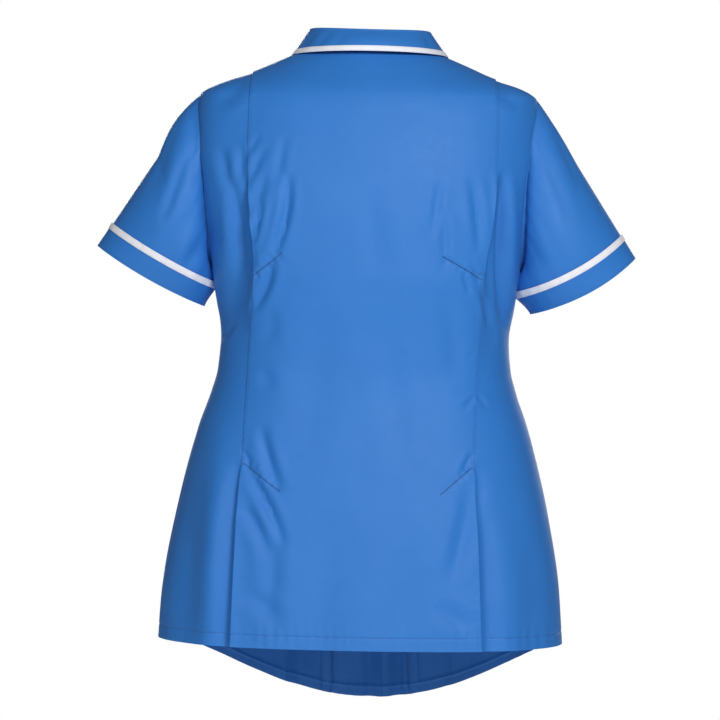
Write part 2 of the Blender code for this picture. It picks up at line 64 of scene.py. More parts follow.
# Body sections: depths run from the side line, dips say how much lower the centre line lies than the side.
Section = namedtuple("Section", "level half_width back front back_dip front_dip fullness sway")
SECTIONS = (
    Section(NECK_LEVEL, 0.0800, 0.064, 0.066, 0.004, 0.078, 0.00, 0.000),
    Section(-0.022, 0.1330, 0.083, 0.086, 0.006, 0.066, 0.03, 0.000),
    Section(TIP_LEVEL, 0.2010, 0.103, 0.107, 0.006, 0.052, 0.08, 0.000),
    Section(-0.080, 0.2060, 0.111, 0.117, 0.004, 0.042, 0.14, 0.000),
    Section(-0.120, 0.2060, 0.120, 0.128, 0.002, 0.032, 0.20, 0.000),
    Section(-0.160, 0.2010, 0.126, 0.138, 0.000, 0.024, 0.24, 0.000),
    Section(-0.210, 0.1930, 0.129, 0.150, 0.000, 0.017, 0.26, 0.000),
    Section(UNDERARM_LEVEL, 0.1840, 0.129, 0.154, 0.000, 0.012, 0.26, 0.000),
    Section(-0.300, 0.1775, 0.126, 0.152, 0.000, 0.009, 0.24, 0.000),
    Section(-0.342, 0.1725, 0.122, 0.149, 0.000, 0.008, 0.22, 0.000),
    Section(-0.378, 0.1750, 0.121, 0.150, 0.000, 0.010, 0.22, 0.000),
    Section(-0.402, 0.1815, 0.122, 0.153, 0.000, 0.013, 0.22, 0.000),
    Section(-0.450, 0.1980, 0.128, 0.160, 0.000, 0.022, 0.22, 0.0015),
    Section(-0.498, 0.2110, 0.135, 0.166, 0.000, 0.034, 0.22, 0.0035),
    Section(-0.570, 0.2265, 0.144, 0.173, 0.000, 0.052, 0.22, 0.0065),
    Section(-0.642, 0.2370, 0.151, 0.177, 0.000, 0.071, 0.22, 0.0095),
    Section(HEM_LEVEL, 0.2410, 0.155, 0.179, 0.000, 0.089, 0.22, 0.0120),
)

# Seam and pleat lines: the folded edge's distance from the centre, how far both edges lie over to the
# wearer's left, the cloth tucked under the edge, how far it stands up, how deep the cloth beside it falls
# in, and how far out that is deepest.
Pleat = namedtuple("Pleat", "level line shift tuck lift valley reach")
BACK_PLEAT = (
    Pleat(NECK_LEVEL, 0.1430, -0.0060, 0.008, 0.0000, 0.000, 0.012),
    Pleat(-0.090, 0.1455, -0.0065, 0.008, 0.0000, 0.000, 0.010),
    Pleat(-0.140, 0.1442, -0.0065, 0.009, 0.0000, 0.000, 0.008),
    Pleat(-0.150, 0.1438, -0.0065, 0.014, 0.0003, 0.001, 0.008),
    Pleat(-0.168, 0.1430, -0.0065, 0.036, 0.0012, 0.005, 0.009),
    Pleat(-0.220, 0.1378, -0.0062, 0.042, 0.0025, 0.010, 0.016),
    Pleat(-0.248, 0.1338, -0.0055, 0.042, 0.0020, 0.012, 0.019),
    Pleat(-0.276, 0.1326, -0.0045, 0.009, 0.0000, 0.010, 0.023),
    Pleat(-0.310, 0.1325, -0.0030, 0.008, 0.0000, 0.006, 0.026),
    Pleat(-0.350, 0.1330, -0.0007, 0.008, 0.0000, 0.001, 0.022),
    Pleat(-0.400, 0.1332, 0.0015, 0.008, 0.0000, 0.000, 0.012),
    Pleat(-0.486, 0.1341, 0.0040, 0.009, 0.0000, 0.000, 0.006),
    Pleat(-0.496, 0.1347, 0.0042, 0.024, 0.0008, 0.0016, 0.006),
    Pleat(-0.520, 0.1360, 0.0044, 0.042, 0.0020, 0.0042, 0.008),
    Pleat(-0.600, 0.1398, 0.0034, 0.042, 0.0032, 0.0075, 0.011),
    Pleat(HEM_LEVEL, 0.1432, 0.0022, 0.042, 0.0038, 0.0085, 0.012),
)
FRONT_PLEAT = (
    Pleat(NECK_LEVEL, 0.1280, 0.000, 0.008, 0.0000, 0.000, 0.012),
    Pleat(-0.100, 0.1180, 0.000, 0.008, 0.0000, 0.000, 0.012),
    Pleat(-0.200, 0.1040, 0.000, 0.008, 0.0000, 0.000, 0.012),
    Pleat(-0.300, 0.0920, 0.000, 0.008, 0.0000, 0.000, 0.012),
    Pleat(-0.350, 0.0890, 0.000, 0.009, 0.0000, 0.001, 0.008),
    Pleat(-0.385, 0.0895, 0.000, 0.040, 0.0015, 0.003, 0.008),
    Pleat(-0.550, 0.0935, 0.000, 0.042, 0.0030, 0.006, 0.011),
    Pleat(HEM_LEVEL, 0.0970, 0.000, 0.042, 0.0035, 0.008, 0.013),
)
Face = namedtuple("Face", "name way depth dip scoop hem_line pucker pleats")
BACK = Face("back", 1, "back", "back_dip", 0.058, HEM_LEVEL + 0.0150, 0.0006, BACK_PLEAT)
FRONT = Face("front", -1, "front", "front_dip", 0.066, HEM_LEVEL + 0.0094, 0.0010, FRONT_PLEAT)

# Creases, as soft troughs from a top end to a low end. The bow bends the middle sideways, and a depth below
# nought is a ridge.
Crease = namedtuple("Crease", "x_top z_top x_low z_low bow width depth")
BACK_CREASES = (
    Crease(0.117, -0.150, 0.137, -0.208, 0.002, 0.0060, 0.0026),
    Crease(0.120, -0.180, 0.133, -0.240, 0.001, 0.0042, 0.0034),
    Crease(0.128, -0.236, 0.129, -0.268, 0.000, 0.0032, 0.0014),
    Crease(0.0905, -0.148, 0.1090, -0.254, 0.0070, 0.0052, 0.0046),
    Crease(0.1070, -0.248, 0.1340, -0.314, 0.006, 0.0058, 0.0048),
    Crease(0.095, -0.104, 0.104, -0.166, 0.000, 0.0050, 0.0016),
    Crease(0.118, -0.118, 0.142, -0.172, 0.000, 0.0050, 0.0018),
    Crease(0.124, -0.104, 0.142, -0.132, 0.000, 0.0042, 0.0012),
    Crease(0.148, -0.116, 0.150, -0.164, 0.002, 0.0050, 0.0022),
    Crease(0.170, -0.118, 0.160, -0.172, 0.000, 0.0055, 0.0026),
    Crease(0.158, -0.155, 0.156, -0.275, 0.002, 0.0056, 0.0052),
    Crease(0.158, -0.230, 0.167, -0.350, 0.002, 0.0100, 0.0036),
    Crease(0.171, -0.345, 0.156, -0.327, 0.000, 0.0032, 0.0018),
    Crease(0.122, -0.262, 0.127, -0.286, 0.000, 0.0030, 0.0012),
    Crease(0.104, -0.310, 0.114, -0.352, 0.002, 0.0080, 0.0014),
    Crease(0.116, -0.376, 0.106, -0.404, 0.000, 0.0080, 0.0014),
    Crease(0.117, -0.444, 0.091, -0.522, -0.003, 0.0062, 0.0044),
    Crease(0.138, -0.472, 0.128, -0.490, 0.000, 0.0032, 0.0018),
    Crease(0.134, -0.486, 0.128, -0.499, 0.000, 0.0028, 0.0018),
    Crease(0.132, -0.494, 0.086, -0.584, 0.003, 0.0058, 0.0044),
    Crease(0.136, -0.536, 0.106, -0.596, 0.004, 0.0070, 0.0036),
    Crease(0.099, -0.560, 0.101, -0.664, 0.000, 0.0100, 0.0028),
    Crease(0.130, -0.636, 0.088, -0.678, 0.004, 0.0100, 0.0028),
    Crease(0.182, -0.070, 0.142, -0.040, 0.000, 0.0090, 0.0026),
    Crease(0.197, -0.040, 0.189, -0.215, 0.004, 0.0230, -0.0060),
    Crease(0.166, -0.440, 0.166, -0.760, 0.000, 0.0170, -0.0052),
    Crease(0.204, -0.500, 0.212, -0.760, 0.000, 0.0200, 0.0052),
    Crease(-0.121, -0.150, -0.131, -0.240, 0.003, 0.0055, 0.0028),
    Crease(-0.086, -0.154, -0.078, -0.224, 0.000, 0.0048, 0.0022),
    Crease(-0.090, -0.188, -0.094, -0.262, 0.000, 0.0048, 0.0018),
    Crease(-0.1535, -0.138, -0.160, -0.360, 0.002, 0.0050, -0.0022),
    Crease(-0.1595, -0.140, -0.1640, -0.330, 0.002, 0.0055, 0.0085),
    Crease(-0.132, -0.276, -0.150, -0.326, 0.002, 0.0045, 0.0030),
    Crease(-0.114, -0.262, -0.122, -0.286, 0.000, 0.0030, 0.0018),
    Crease(-0.122, -0.252, -0.134, -0.272, 0.000, 0.0030, 0.0020),
    Crease(-0.128, -0.263, -0.144, -0.267, 0.000, 0.0028, 0.0020),
    Crease(-0.092, -0.280, -0.108, -0.392, 0.003, 0.0120, 0.0020),
    Crease(-0.116, -0.421, -0.131, -0.408, 0.000, 0.0032, 0.0016),
    Crease(-0.130, -0.356, -0.120, -0.358, 0.000, 0.0028, 0.0010),
    Crease(-0.134, -0.405, -0.146, -0.419, 0.000, 0.0030, 0.0014),
    Crease(-0.130, -0.470, -0.115, -0.499, 0.000, 0.0036, 0.0022),
    Crease(-0.127, -0.504, -0.104, -0.624, 0.004, 0.0095, 0.0040),
    Crease(-0.090, -0.646, -0.128, -0.674, 0.000, 0.0090, 0.0026),
    Crease(-0.182, -0.064, -0.152, -0.046, 0.000, 0.0080, 0.0020),
    Crease(-0.200, -0.550, -0.208, -0.760, 0.000, 0.0180, 0.0034),
    Crease(0.050, -0.290, 0.064, -0.490, 0.004, 0.0200, 0.0020),
    Crease(-0.020, -0.300, -0.046, -0.500, 0.003, 0.0160, 0.0022),
    Crease(-0.008, -0.160, -0.015, -0.270, 0.000, 0.0120, 0.0014),
    Crease(0.034, -0.540, 0.046, -0.760, 0.000, 0.0200, 0.0034),
    Crease(-0.052, -0.580, -0.056, -0.760, 0.000, 0.0190, 0.0030),
)
FRONT_CREASES = (
    Crease(0.162, -0.150, 0.118, -0.232, 0.004, 0.0080, 0.0036),
    Crease(0.172, -0.196, 0.126, -0.262, -0.003, 0.0065, 0.0026),
    Crease(-0.160, -0.142, -0.114, -0.226, -0.004, 0.0085, 0.0034),
    Crease(-0.170, -0.202, -0.128, -0.256, 0.002, 0.0060, 0.0028),
    Crease(0.108, -0.070, 0.092, -0.160, 0.003, 0.0100, 0.0016),
    Crease(-0.104, -0.076, -0.094, -0.170, 0.000, 0.0090, 0.0014),
    Crease(0.150, -0.296, 0.112, -0.372, 0.003, 0.0070, 0.0026),
    Crease(-0.152, -0.304, -0.110, -0.366, -0.003, 0.0070, 0.0024),
    Crease(0.158, -0.330, 0.136, -0.350, 0.000, 0.0040, 0.0014),
    Crease(0.050, -0.270, 0.058, -0.380, 0.002, 0.0120, 0.0014),
    Crease(-0.046, -0.290, -0.056, -0.400, 0.002, 0.0110, 0.0013),
    Crease(0.150, -0.530, 0.172, -0.780, 0.003, 0.0180, 0.0056),
    Crease(-0.146, -0.510, -0.168, -0.780, 0.003, 0.0200, 0.0052),
    Crease(0.024, -0.560, 0.026, -0.830, 0.000, 0.0120, 0.0040),
    Crease(-0.008, -0.560, -0.010, -0.900, 0.002, 0.0080, -0.0048),
    Crease(-0.028, -0.600, -0.028, -0.880, 0.000, 0.0100, 0.0024),
    Crease(-0.046, -0.620, -0.049, -0.880, -0.002, 0.0072, -0.0044),
    Crease(-0.064, -0.660, -0.074, -0.880, 0.000, 0.0075, -0.0034),
    Crease(0.070, -0.600, 0.072, -0.860, 0.000, 0.0120, -0.0050),
    Crease(0.206, -0.560, 0.214, -0.760, 0.000, 0.0140, 0.0030),
)
CREASES = {BACK: BACK_CREASES, FRONT: FRONT_CREASES}

# Slanting rows of stitches that hold the ends of the back tucks. The cloth stands higher on the side where
# the tuck lies beneath, given as 1 above the row and -1 below it.
TuckEnd = namedtuple("TuckEnd", "x_top z_top x_low z_low tuck")
TUCK_ENDS = (
    TuckEnd(0.0950, -0.2425, 0.1285, -0.2700, 1),
    TuckEnd(-0.0905, -0.2445, -0.1360, -0.2700, 1),
    TuckEnd(0.1370, -0.4880, 0.0925, -0.5205, -1),
    TuckEnd(-0.1280, -0.4885, -0.0920, -0.5205, -1),
)


def column(table, name, level):
    """Smooth curve through one column of a table of levels, without overshoot."""
    rows = sorted(table)
    t = np.array([row.level for row in rows])
    value = np.array([getattr(row, name) for row in rows])
    span, rise = np.diff(t), np.diff(value) / np.diff(t)
    product, total = rise[:-1] * rise[1:], rise[:-1] + rise[1:]
    slope = np.zeros(len(t))
    slope[0], slope[-1] = rise[0], rise[-1]
    slope[1:-1] = np.divide(2 * product, total, out=np.zeros_like(total), where=product > 0)
    k = np.clip(np.searchsorted(t, level, side="right") - 1, 0, len(span) - 1)
    s = (level - t[k]) / span[k]
    start = value[k] * (1 + 2 * s) * (1 - s) ** 2 + slope[k] * span[k] * s * (1 - s) ** 2
    return start + value[k + 1] * s * s * (3 - 2 * s) + slope[k + 1] * span[k] * s * s * (s - 1)


def unit(vectors):
    return vectors / np.linalg.norm(vectors, axis=-1, keepdims=True)


def body(face, side, angle, level):
    """Point of the bare body, at an angle round from the centre line and a level of the side line."""
    sine, cosine = np.sin(angle), np.cos(angle)
    full = 1 + column(SECTIONS, "fullness", level) * sine ** 2
    sway = column(SECTIONS, "sway", level) if face is FRONT else 0.0
    x = side * column(SECTIONS, "half_width", level) * sine - sway * cosine
    y = face.way * (SEAM_GAP / 2 + column(SECTIONS, face.depth, level) * cosine * full)
    z = level - column(SECTIONS, face.dip, level) * np.maximum(cosine, 0.0) ** DIP_POWER
    return np.stack(np.broadcast_arrays(x, y, z), axis=-1)


def crease_lift(face, x, z):
    """Depth of all the creases of a face at a place, with a low shoulder beside each trough, and a slight
    unevenness of the whole cloth."""
    lift = 0.00035 * np.sin(61 * x + 23 * z + 2.0 * np.sin(17 * z)) * np.sin(37 * z - 29 * x + face.way)
    for crease in CREASES[face]:
        run_x, run_z = crease.x_low - crease.x_top, crease.z_low - crease.z_top
        length = math.hypot(run_x, run_z)
        along = ((x - crease.x_top) * run_x + (z - crease.z_top) * run_z) / length ** 2
        inside = np.clip(along, 0.0, 1.0)
        across = ((x - crease.x_top) * run_z - (z - crease.z_top) * run_x) / length
        across = np.abs(across - 4 * crease.bow * inside * (1 - inside)) / crease.width
        profile = np.exp(-across ** 2) - 0.30 * np.exp(-(across - 2.0) ** 2)
        lift = lift - crease.depth * np.sin(math.pi * inside) ** 0.8 * profile
    return lift


def tuck_lift(x, z):
    """Step and groove at the slanting rows of stitches, with a pucker each side."""
    lift = 0.0
    for end in TUCK_ENDS:
        run_x, run_z = end.x_low - end.x_top, end.z_low - end.z_top
        length = math.hypot(run_x, run_z)
        along = ((x - end.x_top) * run_x + (z - end.z_top) * run_z) / length ** 2
        across = ((x - end.x_top) * run_z - (z - end.z_top) * run_x) / length * math.copysign(1.0, -run_x)
        near = np.clip(along / 0.08, 0, 1) * np.clip((1 - along) / 0.08, 0, 1)
        step = 0.0008 * end.tuck * np.tanh(across / 0.0020) * np.exp(-np.abs(across) / 0.010)
        groove = 0.0008 * np.exp(-(across / 0.0030) ** 2)
        ripple = 0.0004 * np.sin(2 * math.pi * along * length / 0.0085) * np.exp(-(across / 0.008) ** 2)
        lift = lift + near * (step - groove + ripple)
    return lift


def hem_lift(face, x, level):
    """Groove of the hem's stitch line and the small upright puckers it draws into the cloth round it."""
    off = level - face.hem_line
    uneven = 0.6 + 0.4 * np.sin(31 * x + 2 * np.sin(53 * x))
    ripple = face.pucker * uneven * np.sin(2 * math.pi * x / 0.0115 + 2.5 * np.sin(22 * x))
    reach = np.where(off > 0, 0.011, 0.016)
    return ripple * np.exp(-(off / reach) ** 2) - 0.00060 * np.exp(-(off / 0.0011) ** 2)


def lay(face, side, angle, level, out=0.0, along=0.0):
    """Point of cloth on the body, moved out along the surface's own direction and along the ring."""
    step = 1e-4
    point = body(face, side, angle, level)
    across = unit(body(face, side, angle + step, level) - body(face, side, angle - step, level))
    upward = unit(body(face, side, angle, level + step) - body(face, side, angle, level - step))
    outward = unit(np.cross(upward, across)) * side * face.way
    x, z = point[..., 0], point[..., 2]
    out = out + crease_lift(face, x, z) + hem_lift(face, x, level)
    out = np.asarray(out + tuck_lift(x, z) if face is BACK else out)
    return point + outward * out[..., None] + across * np.asarray(along)[..., None]


def pace(face, angle, level):
    """Metres of cloth across the body for each radian."""
    step = 1e-4
    ahead, behind = body(face, LEFT, angle + step, level), body(face, LEFT, angle - step, level)
    return np.linalg.norm(ahead - behind, axis=-1) / (2 * step)


def fold_angle(face, side, level):
    """Angle of the folded edge at the seam line, kept just short of the side."""
    line = column(face.pleats, "line", level) + side * column(face.pleats, "shift", level)
    line = np.minimum(line / column(SECTIONS, "half_width", level), 1.0)
    room = FOLD_RADIUS + LAYER / 2 + SEAM_GAP
    return np.minimum(np.arcsin(line), math.pi / 2 - room / pace(face, math.pi / 2, level))


def side_angle(face, level):
    """Angle of the side seam, or of the armhole between the shoulder and the underarm."""
    t = np.clip((TIP_LEVEL - level) / (TIP_LEVEL - UNDERARM_LEVEL), 0.0, 1.0)
    scoop = face.scoop * np.sin(math.pi * t) ** SCOOP_POWER
    return math.pi / 2 - scoop / pace(face, math.pi / 2, level)


def pucker(distance, level, height=0.00028, reach=0.007, wave=0.0105):
    """Small ripples that a seam draws into the cloth beside it, uneven along its length."""
    uneven = 0.55 + 0.45 * np.sin(level * 47 + 3 * np.sin(level * 19))
    return height * uneven * np.exp(-distance / reach) * np.sin(2 * math.pi * level / wave + 2 * uneven)


def over_rise(face, side, angle, level, lap=None):
    """Height of the panel that lies on top, above the body: it lifts towards its folded edge."""
    fold = fold_angle(face, side, level)
    inward = (fold - angle) * pace(face, fold, level)
    rise = 2 * LAYER + pucker(inward, level)
    rise = rise + column(face.pleats, "lift", level) * np.maximum(0.0, 1 - inward / LIFT_REACH) ** 2
    if lap is not None:
        rise = rise + lap(side * column(SECTIONS, "half_width", level) * np.sin(angle))
    return rise


def over_half(face, side, level, start, shares, lap=None):
    """Half of a panel that lies on top at its seam line: across the body from the angle start, round the
    folded edge and back below it."""
    fold = fold_angle(face, side, level)
    speed = pace(face, fold, level)
    lift = column(face.pleats, "lift", level)
    flat = start + (fold - start) * shares
    rise = over_rise(face, side, flat, level, lap)
    turn = np.radians(np.arange(20, 161, 20))
    centre = LAYER + FOLD_RADIUS + lift
    round_out, round_along = centre + FOLD_RADIUS * np.cos(turn), FOLD_RADIUS * np.sin(turn) + 0 * level
    under = np.linspace(0.0, 1.0, 6)
    below = LAYER + lift * (1 - under)
    tuck = column(face.pleats, "tuck", level) / speed
    return np.concatenate([
        lay(face, side, flat, level, rise),
        lay(face, side, fold + 0 * turn, level, round_out, round_along),
        lay(face, side, fold - tuck * under, level, below),
    ], axis=1)


def wall_faces(grid, count, closed):
    """Four-cornered faces of a wall: outside, inside and rims. The grid numbers the outer points, and the
    inner ones have numbers count higher."""
    a, b, c, d = grid[:-1, :-1], grid[:-1, 1:], grid[1:, 1:], grid[1:, :-1]
    outside = np.stack([a, d, c, b], axis=-1).reshape(-1, 4)
    rims = [np.stack([grid[0, :-1], grid[0, 1:]], -1), np.stack([grid[-1, 1:], grid[-1, :-1]], -1)]
    if not closed:
        rims.append(np.stack([grid[1:, 0], grid[:-1, 0]], -1))
        rims.append(np.stack([grid[:-1, -1], grid[1:, -1]], -1))
    rims = np.concatenate(rims)
    rims = np.concatenate([rims, rims[:, ::-1] + count], axis=1)
    return np.concatenate([outside, outside[:, ::-1] + count, rims])


def shell(name, points, material, wall=CLOTH, turned=0.0, closed=False, flip=False):
    """Builds a cloth wall on a grid of middle points, with rows that run down the piece. Turned is the
    extra depth on the inside where an edge is folded in. The UV map is the cut, laid flat in metres."""
    if flip:
        points = points[:, ::-1]
    rows, columns = points.shape[:2]
    right = np.roll(points, -1, 1) - np.roll(points, 1, 1) if closed else np.gradient(points, axis=1)
    outward = unit(np.cross(np.gradient(points, axis=0), right))
    outer = points + outward * wall / 2
    inner = points - outward * (wall / 2 + turned)
    grid = np.arange(rows * columns).reshape(rows, columns)
    ring = points
    if closed:
        grid = np.concatenate([grid, grid[:, :1]], axis=1)
        ring = np.concatenate([points, points[:, :1]], axis=1)
    faces = wall_faces(grid, rows * columns, closed)
    mesh = bpy.data.meshes.new(name)
    mesh.from_pydata(np.concatenate([outer, inner]).reshape(-1, 3).tolist(), [], faces.tolist())
    u = np.cumsum(np.linalg.norm(np.diff(ring, axis=1, prepend=ring[:, :1]), axis=-1), axis=1)
    v = np.cumsum(np.linalg.norm(np.diff(ring, axis=0, prepend=ring[:1]), axis=-1), axis=0)
    flat = np.stack([u - u[:, u.shape[1] // 2, None], -v], axis=-1).reshape(-1, 2)
    corners = wall_faces(np.arange(len(flat)).reshape(ring.shape[:2]), 0, closed)
    mesh.uv_layers.new(name="cut").data.foreach_set("uv", flat[corners.ravel()].astype(np.float32).ravel())
    mesh.shade_smooth()
    mesh.set_sharp_from_angle(angle=math.radians(50))
    mesh.materials.append(material)
    piece = bpy.data.objects.new(name, mesh)
    bpy.context.scene.collection.objects.link(piece)
    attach(piece, "root")
    return piece


class Wire:
    """One socket of a finish. Sums on it add Math nodes."""

    def __init__(self, finish, socket):
        self.finish, self.socket = finish, socket

    def maths(self, operation, a, b=0.0):
        return self.finish.node("ShaderNodeMath", {"operation": operation}, {0: a, 1: b})

    def __add__(self, other):
        return self.maths("ADD", self, other)

    def __sub__(self, other):
        return self.maths("SUBTRACT", self, other)

    def __rsub__(self, other):
        return self.maths("SUBTRACT", other, self)

    def __mul__(self, other):
        return self.maths("MULTIPLY", self, other)

    def sine(self):
        return self.maths("SINE", self)

    __radd__ = __add__
    __rmul__ = __mul__


class Finish:
    """A material whose nodes are made one at a time and joined to its Principled surface."""

    def __init__(self, name, **fixed):
        self.material = bpy.data.materials.new(name)
        self.material.use_nodes = True
        self.tree = self.material.node_tree
        self.surface = self.tree.nodes["Principled BSDF"]
        for socket, value in fixed.items():
            self.surface.inputs[socket.replace("_", " ")].default_value = value

    def node(self, kind, settings=None, sockets=None, output=0):
        node = self.tree.nodes.new(kind)
        for key, value in (settings or {}).items():
            setattr(node, key, value)
        for key, value in (sockets or {}).items():
            if isinstance(value, Wire):
                self.tree.links.new(value.socket, node.inputs[key])
            else:
                node.inputs[key].default_value = value
        return Wire(self, node.outputs[output])

    def noise(self, place, scale, detail=2.0, roughness=0.5):
        sockets = {"Vector": place, "Scale": scale, "Detail": detail, "Roughness": roughness}
        return self.node("ShaderNodeTexNoise", None, sockets)

    def mix(self, factor, first, second):
        """Colour between two colours."""
        sockets = {"Factor": factor, 6: (*first, 1.0), 7: (*second, 1.0)}
        return self.node("ShaderNodeMix", {"data_type": "RGBA"}, sockets, output=2)

    def bump(self, height, strength, distance, **more):
        sockets = {"Height": height, "Strength": strength, "Distance": distance, **more}
        return self.node("ShaderNodeBump", None, sockets)

    def feed(self, socket, wire):
        self.tree.links.new(wire.socket, self.surface.inputs[socket])


def twill(name, light, dark, rib, sheen):
    """Smooth woven cloth: fine diagonal ribs, uneven yarns, a faint mottle and soft handling marks."""
    finish = Finish(name, Sheen_Weight=sheen, Sheen_Roughness=0.35, Specular_IOR_Level=0.34)
    finish.surface.inputs["Sheen Tint"].default_value = (0.75, 0.85, 1.0, 1.0)
    cut = finish.node("ShaderNodeTexCoord", output=2)
    axes = finish.node("ShaderNodeSeparateXYZ", None, {0: cut})
    across, down = axes, Wire(finish, axes.socket.node.outputs[1])
    slubs = finish.node("ShaderNodeMapping", None, {"Vector": cut, "Scale": (900.0, 60.0, 1.0)})
    yarn = finish.noise(slubs, 1.0)
    ribs = ((across + down) * (2 * math.pi / rib) + yarn * 1.6).sine() * 0.5 + 0.5
    threads = ((down - across * 0.6) * (2 * math.pi / (rib * 0.7))).sine() * 0.5 + 0.5
    place = finish.node("ShaderNodeTexCoord", output=3)
    mottle = finish.noise(place, 22.0, 3.0, 0.6)
    marks = finish.noise(place, 75.0, 3.0, 0.55)
    tone = mottle * 0.55 + yarn * 0.25 + ribs * 0.20
    finish.feed("Base Color", finish.mix(tone, dark, light))
    finish.feed("Roughness", 0.50 + marks * 0.14)
    weave = finish.bump(ribs * 0.7 + threads * 0.3 + yarn * 0.4, 0.35, 0.00008)
    finish.feed("Normal", finish.bump(marks, 0.5, 0.0006, Normal=weave))
    return finish.material


blue_twill = twill("blue_twill", (0.034, 0.215, 0.650), (0.024, 0.175, 0.560), 0.0009, 0.04)


def rows_between(face, top, low):
    """Rows of a panel down to its hem, closer together at the hem's stitch line."""
    even = np.linspace(top, low, round((top - low) / ROW_STEP) + 1)
    close = face.hem_line + np.linspace(-0.002, 0.002, 7)
    even = even[np.abs(even - face.hem_line) > 0.0024]
    return np.sort(np.concatenate([even, close]))[::-1]


def hem_turn(face, level):
    """Extra depth inside the hem, where the edge is folded in twice."""
    return HEM_DEPTH * np.clip((face.hem_line + 0.0015 - level) / 0.0012 + 1, 0.0, 1.0)[..., None]


levels = rows_between(BACK, NECK_LEVEL, HEM_LEVEL)[:, None]
# Columns lie closer together towards the folded edge, where the seam puckers the cloth.
centre_shares = 1 - (1 - np.linspace(0.0, 1.0, 58)) ** 1.2

halves = {side: over_half(BACK, side, levels, 0.0 * levels, centre_shares) for side in (LEFT, RIGHT)}
back_centre = np.concatenate([halves[LEFT][:, :0:-1], halves[RIGHT]], axis=1)
piece = shell("back_centre_cloth", back_centre, blue_twill, turned=hem_turn(BACK, levels))
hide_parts("back_centre")

STITCH_PITCH = 0.0030
STITCH_LENGTH = 0.0023
STITCH_RADIUS = 0.00022


def sew(name, paths, material, slot, pitch=STITCH_PITCH, length=STITCH_LENGTH, radius=STITCH_RADIUS):
    """Rows of stitches along paths of points. Each stitch is a short spindle of thread, pulled in at its
    ends."""
    spots, ways = [], []
    for path in paths:
        path = np.asarray(path)
        run = np.concatenate([[0.0], np.cumsum(np.linalg.norm(np.diff(path, axis=0), axis=1))])
        places = np.arange(pitch / 2, run[-1], pitch)
        middle = np.stack([np.interp(places, run, path[:, k]) for k in range(3)], axis=1)
        ahead = np.stack([np.interp(places + 1e-4, run, path[:, k]) for k in range(3)], axis=1)
        behind = np.stack([np.interp(places - 1e-4, run, path[:, k]) for k in range(3)], axis=1)
        spots.append(middle)
        ways.append(unit(ahead - behind))
    spots, ways = np.concatenate(spots), np.concatenate(ways)
    side = unit(np.cross(ways, np.where(np.abs(ways[:, 1:2]) > 0.9, [[1.0, 0.0, 0.0]], [[0.0, 1.0, 0.0]])))
    other = np.cross(ways, side)
    ends = [-0.5, -0.25, 0.25, 0.5]
    widths = [0.35, 1.0, 1.0, 0.35]
    corners = [(1, 0), (0, 1), (-1, 0), (0, -1)]
    points = np.stack([
        spots + ways * (end * length) + (side * a + other * b) * (radius * width)
        for end, width in zip(ends, widths) for a, b in corners
    ], axis=1)
    local = []
    for ring in range(3):
        for k in range(4):
            a, b = ring * 4 + k, ring * 4 + (k + 1) % 4
            local.append((a, b, b + 4, a + 4))
    local += [(3, 2, 1, 0), (12, 13, 14, 15)]
    faces = (np.array(local)[None] + 16 * np.arange(len(spots))[:, None, None]).reshape(-1, 4)
    mesh = bpy.data.meshes.new(name)
    mesh.from_pydata(points.reshape(-1, 3).tolist(), [], faces.tolist())
    mesh.shade_smooth()
    mesh.materials.append(material)
    piece = bpy.data.objects.new(name, mesh)
    bpy.context.scene.collection.objects.link(piece)
    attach(piece, "root")
    return piece


def over_seam(face, side, top, low, inward=0.0022, lap=None):
    """Stitch path down a seam, a little in from the folded edge."""
    level = np.linspace(top, low, 300)
    fold = fold_angle(face, side, level)
    angle = fold - inward / pace(face, fold, level)
    return lay(face, side, angle, level, over_rise(face, side, angle, level, lap) + CLOTH / 2)


def across_panel(face, places, lap=None):
    """Stitch path over a panel through places of x and level."""
    places = np.array(places)
    steps = np.linspace(0, len(places) - 1, 200)
    x, level = (np.interp(steps, np.arange(len(places)), places[:, k]) for k in range(2))
    side = LEFT if x[0] > 0 else RIGHT
    angle = np.arcsin(np.minimum(np.abs(x) / column(SECTIONS, "half_width", level), 1.0))
    return lay(face, side, angle, level, over_rise(face, side, angle, level, lap) + CLOTH / 2)


def thread(name, colour):
    """Spun polyester thread, twisted, in one colour."""
    finish = Finish(name, Roughness=0.45, Sheen_Weight=0.2)
    place = finish.node("ShaderNodeTexCoord", output=3)
    twisted = {"bands_direction": "DIAGONAL"}
    twist = finish.node("ShaderNodeTexWave", twisted, {"Vector": place, "Scale": 1500.0})
    shade = tuple(0.8 * part for part in colour)
    finish.feed("Base Color", finish.mix(finish.noise(place, 90.0), shade, colour))
    finish.feed("Normal", finish.bump(twist, 0.5, 0.0001))
    return finish.material


blue_thread = thread("blue_thread", (0.010, 0.060, 0.240))
# The seams are edge-stitched where the tucks are shut, and a slanting row holds each tuck's end flat.
paths = []
for side in (LEFT, RIGHT):
    paths += [over_seam(BACK, side, -0.004, -0.160), over_seam(BACK, side, -0.272, -0.492)]
paths.append(across_panel(BACK, [(0.146, BACK.hem_line), (0.0001, BACK.hem_line)]))
paths.append(across_panel(BACK, [(-0.132, BACK.hem_line), (-0.0001, BACK.hem_line)]))
sew("back_centre_stitches", paths, blue_thread, "blue_cloth")
TUCK_STITCH_LENGTH = 0.0028
TUCK_STITCH_RADIUS = 0.00050
TUCK_STITCH_LIFT = 0.0005


def tuck_stitch_lift(x):
    """The thread of these rows stands a little higher, the same all along."""
    return TUCK_STITCH_LIFT


paths = []
for end in TUCK_ENDS:
    places = [(end.x_low, end.z_low), (end.x_top, end.z_top)]
    paths.append(across_panel(BACK, places, lap=tuck_stitch_lift))
thick = {"length": TUCK_STITCH_LENGTH, "radius": TUCK_STITCH_RADIUS}
sew("tuck_end_stitches", paths, blue_thread, "blue_cloth", **thick)

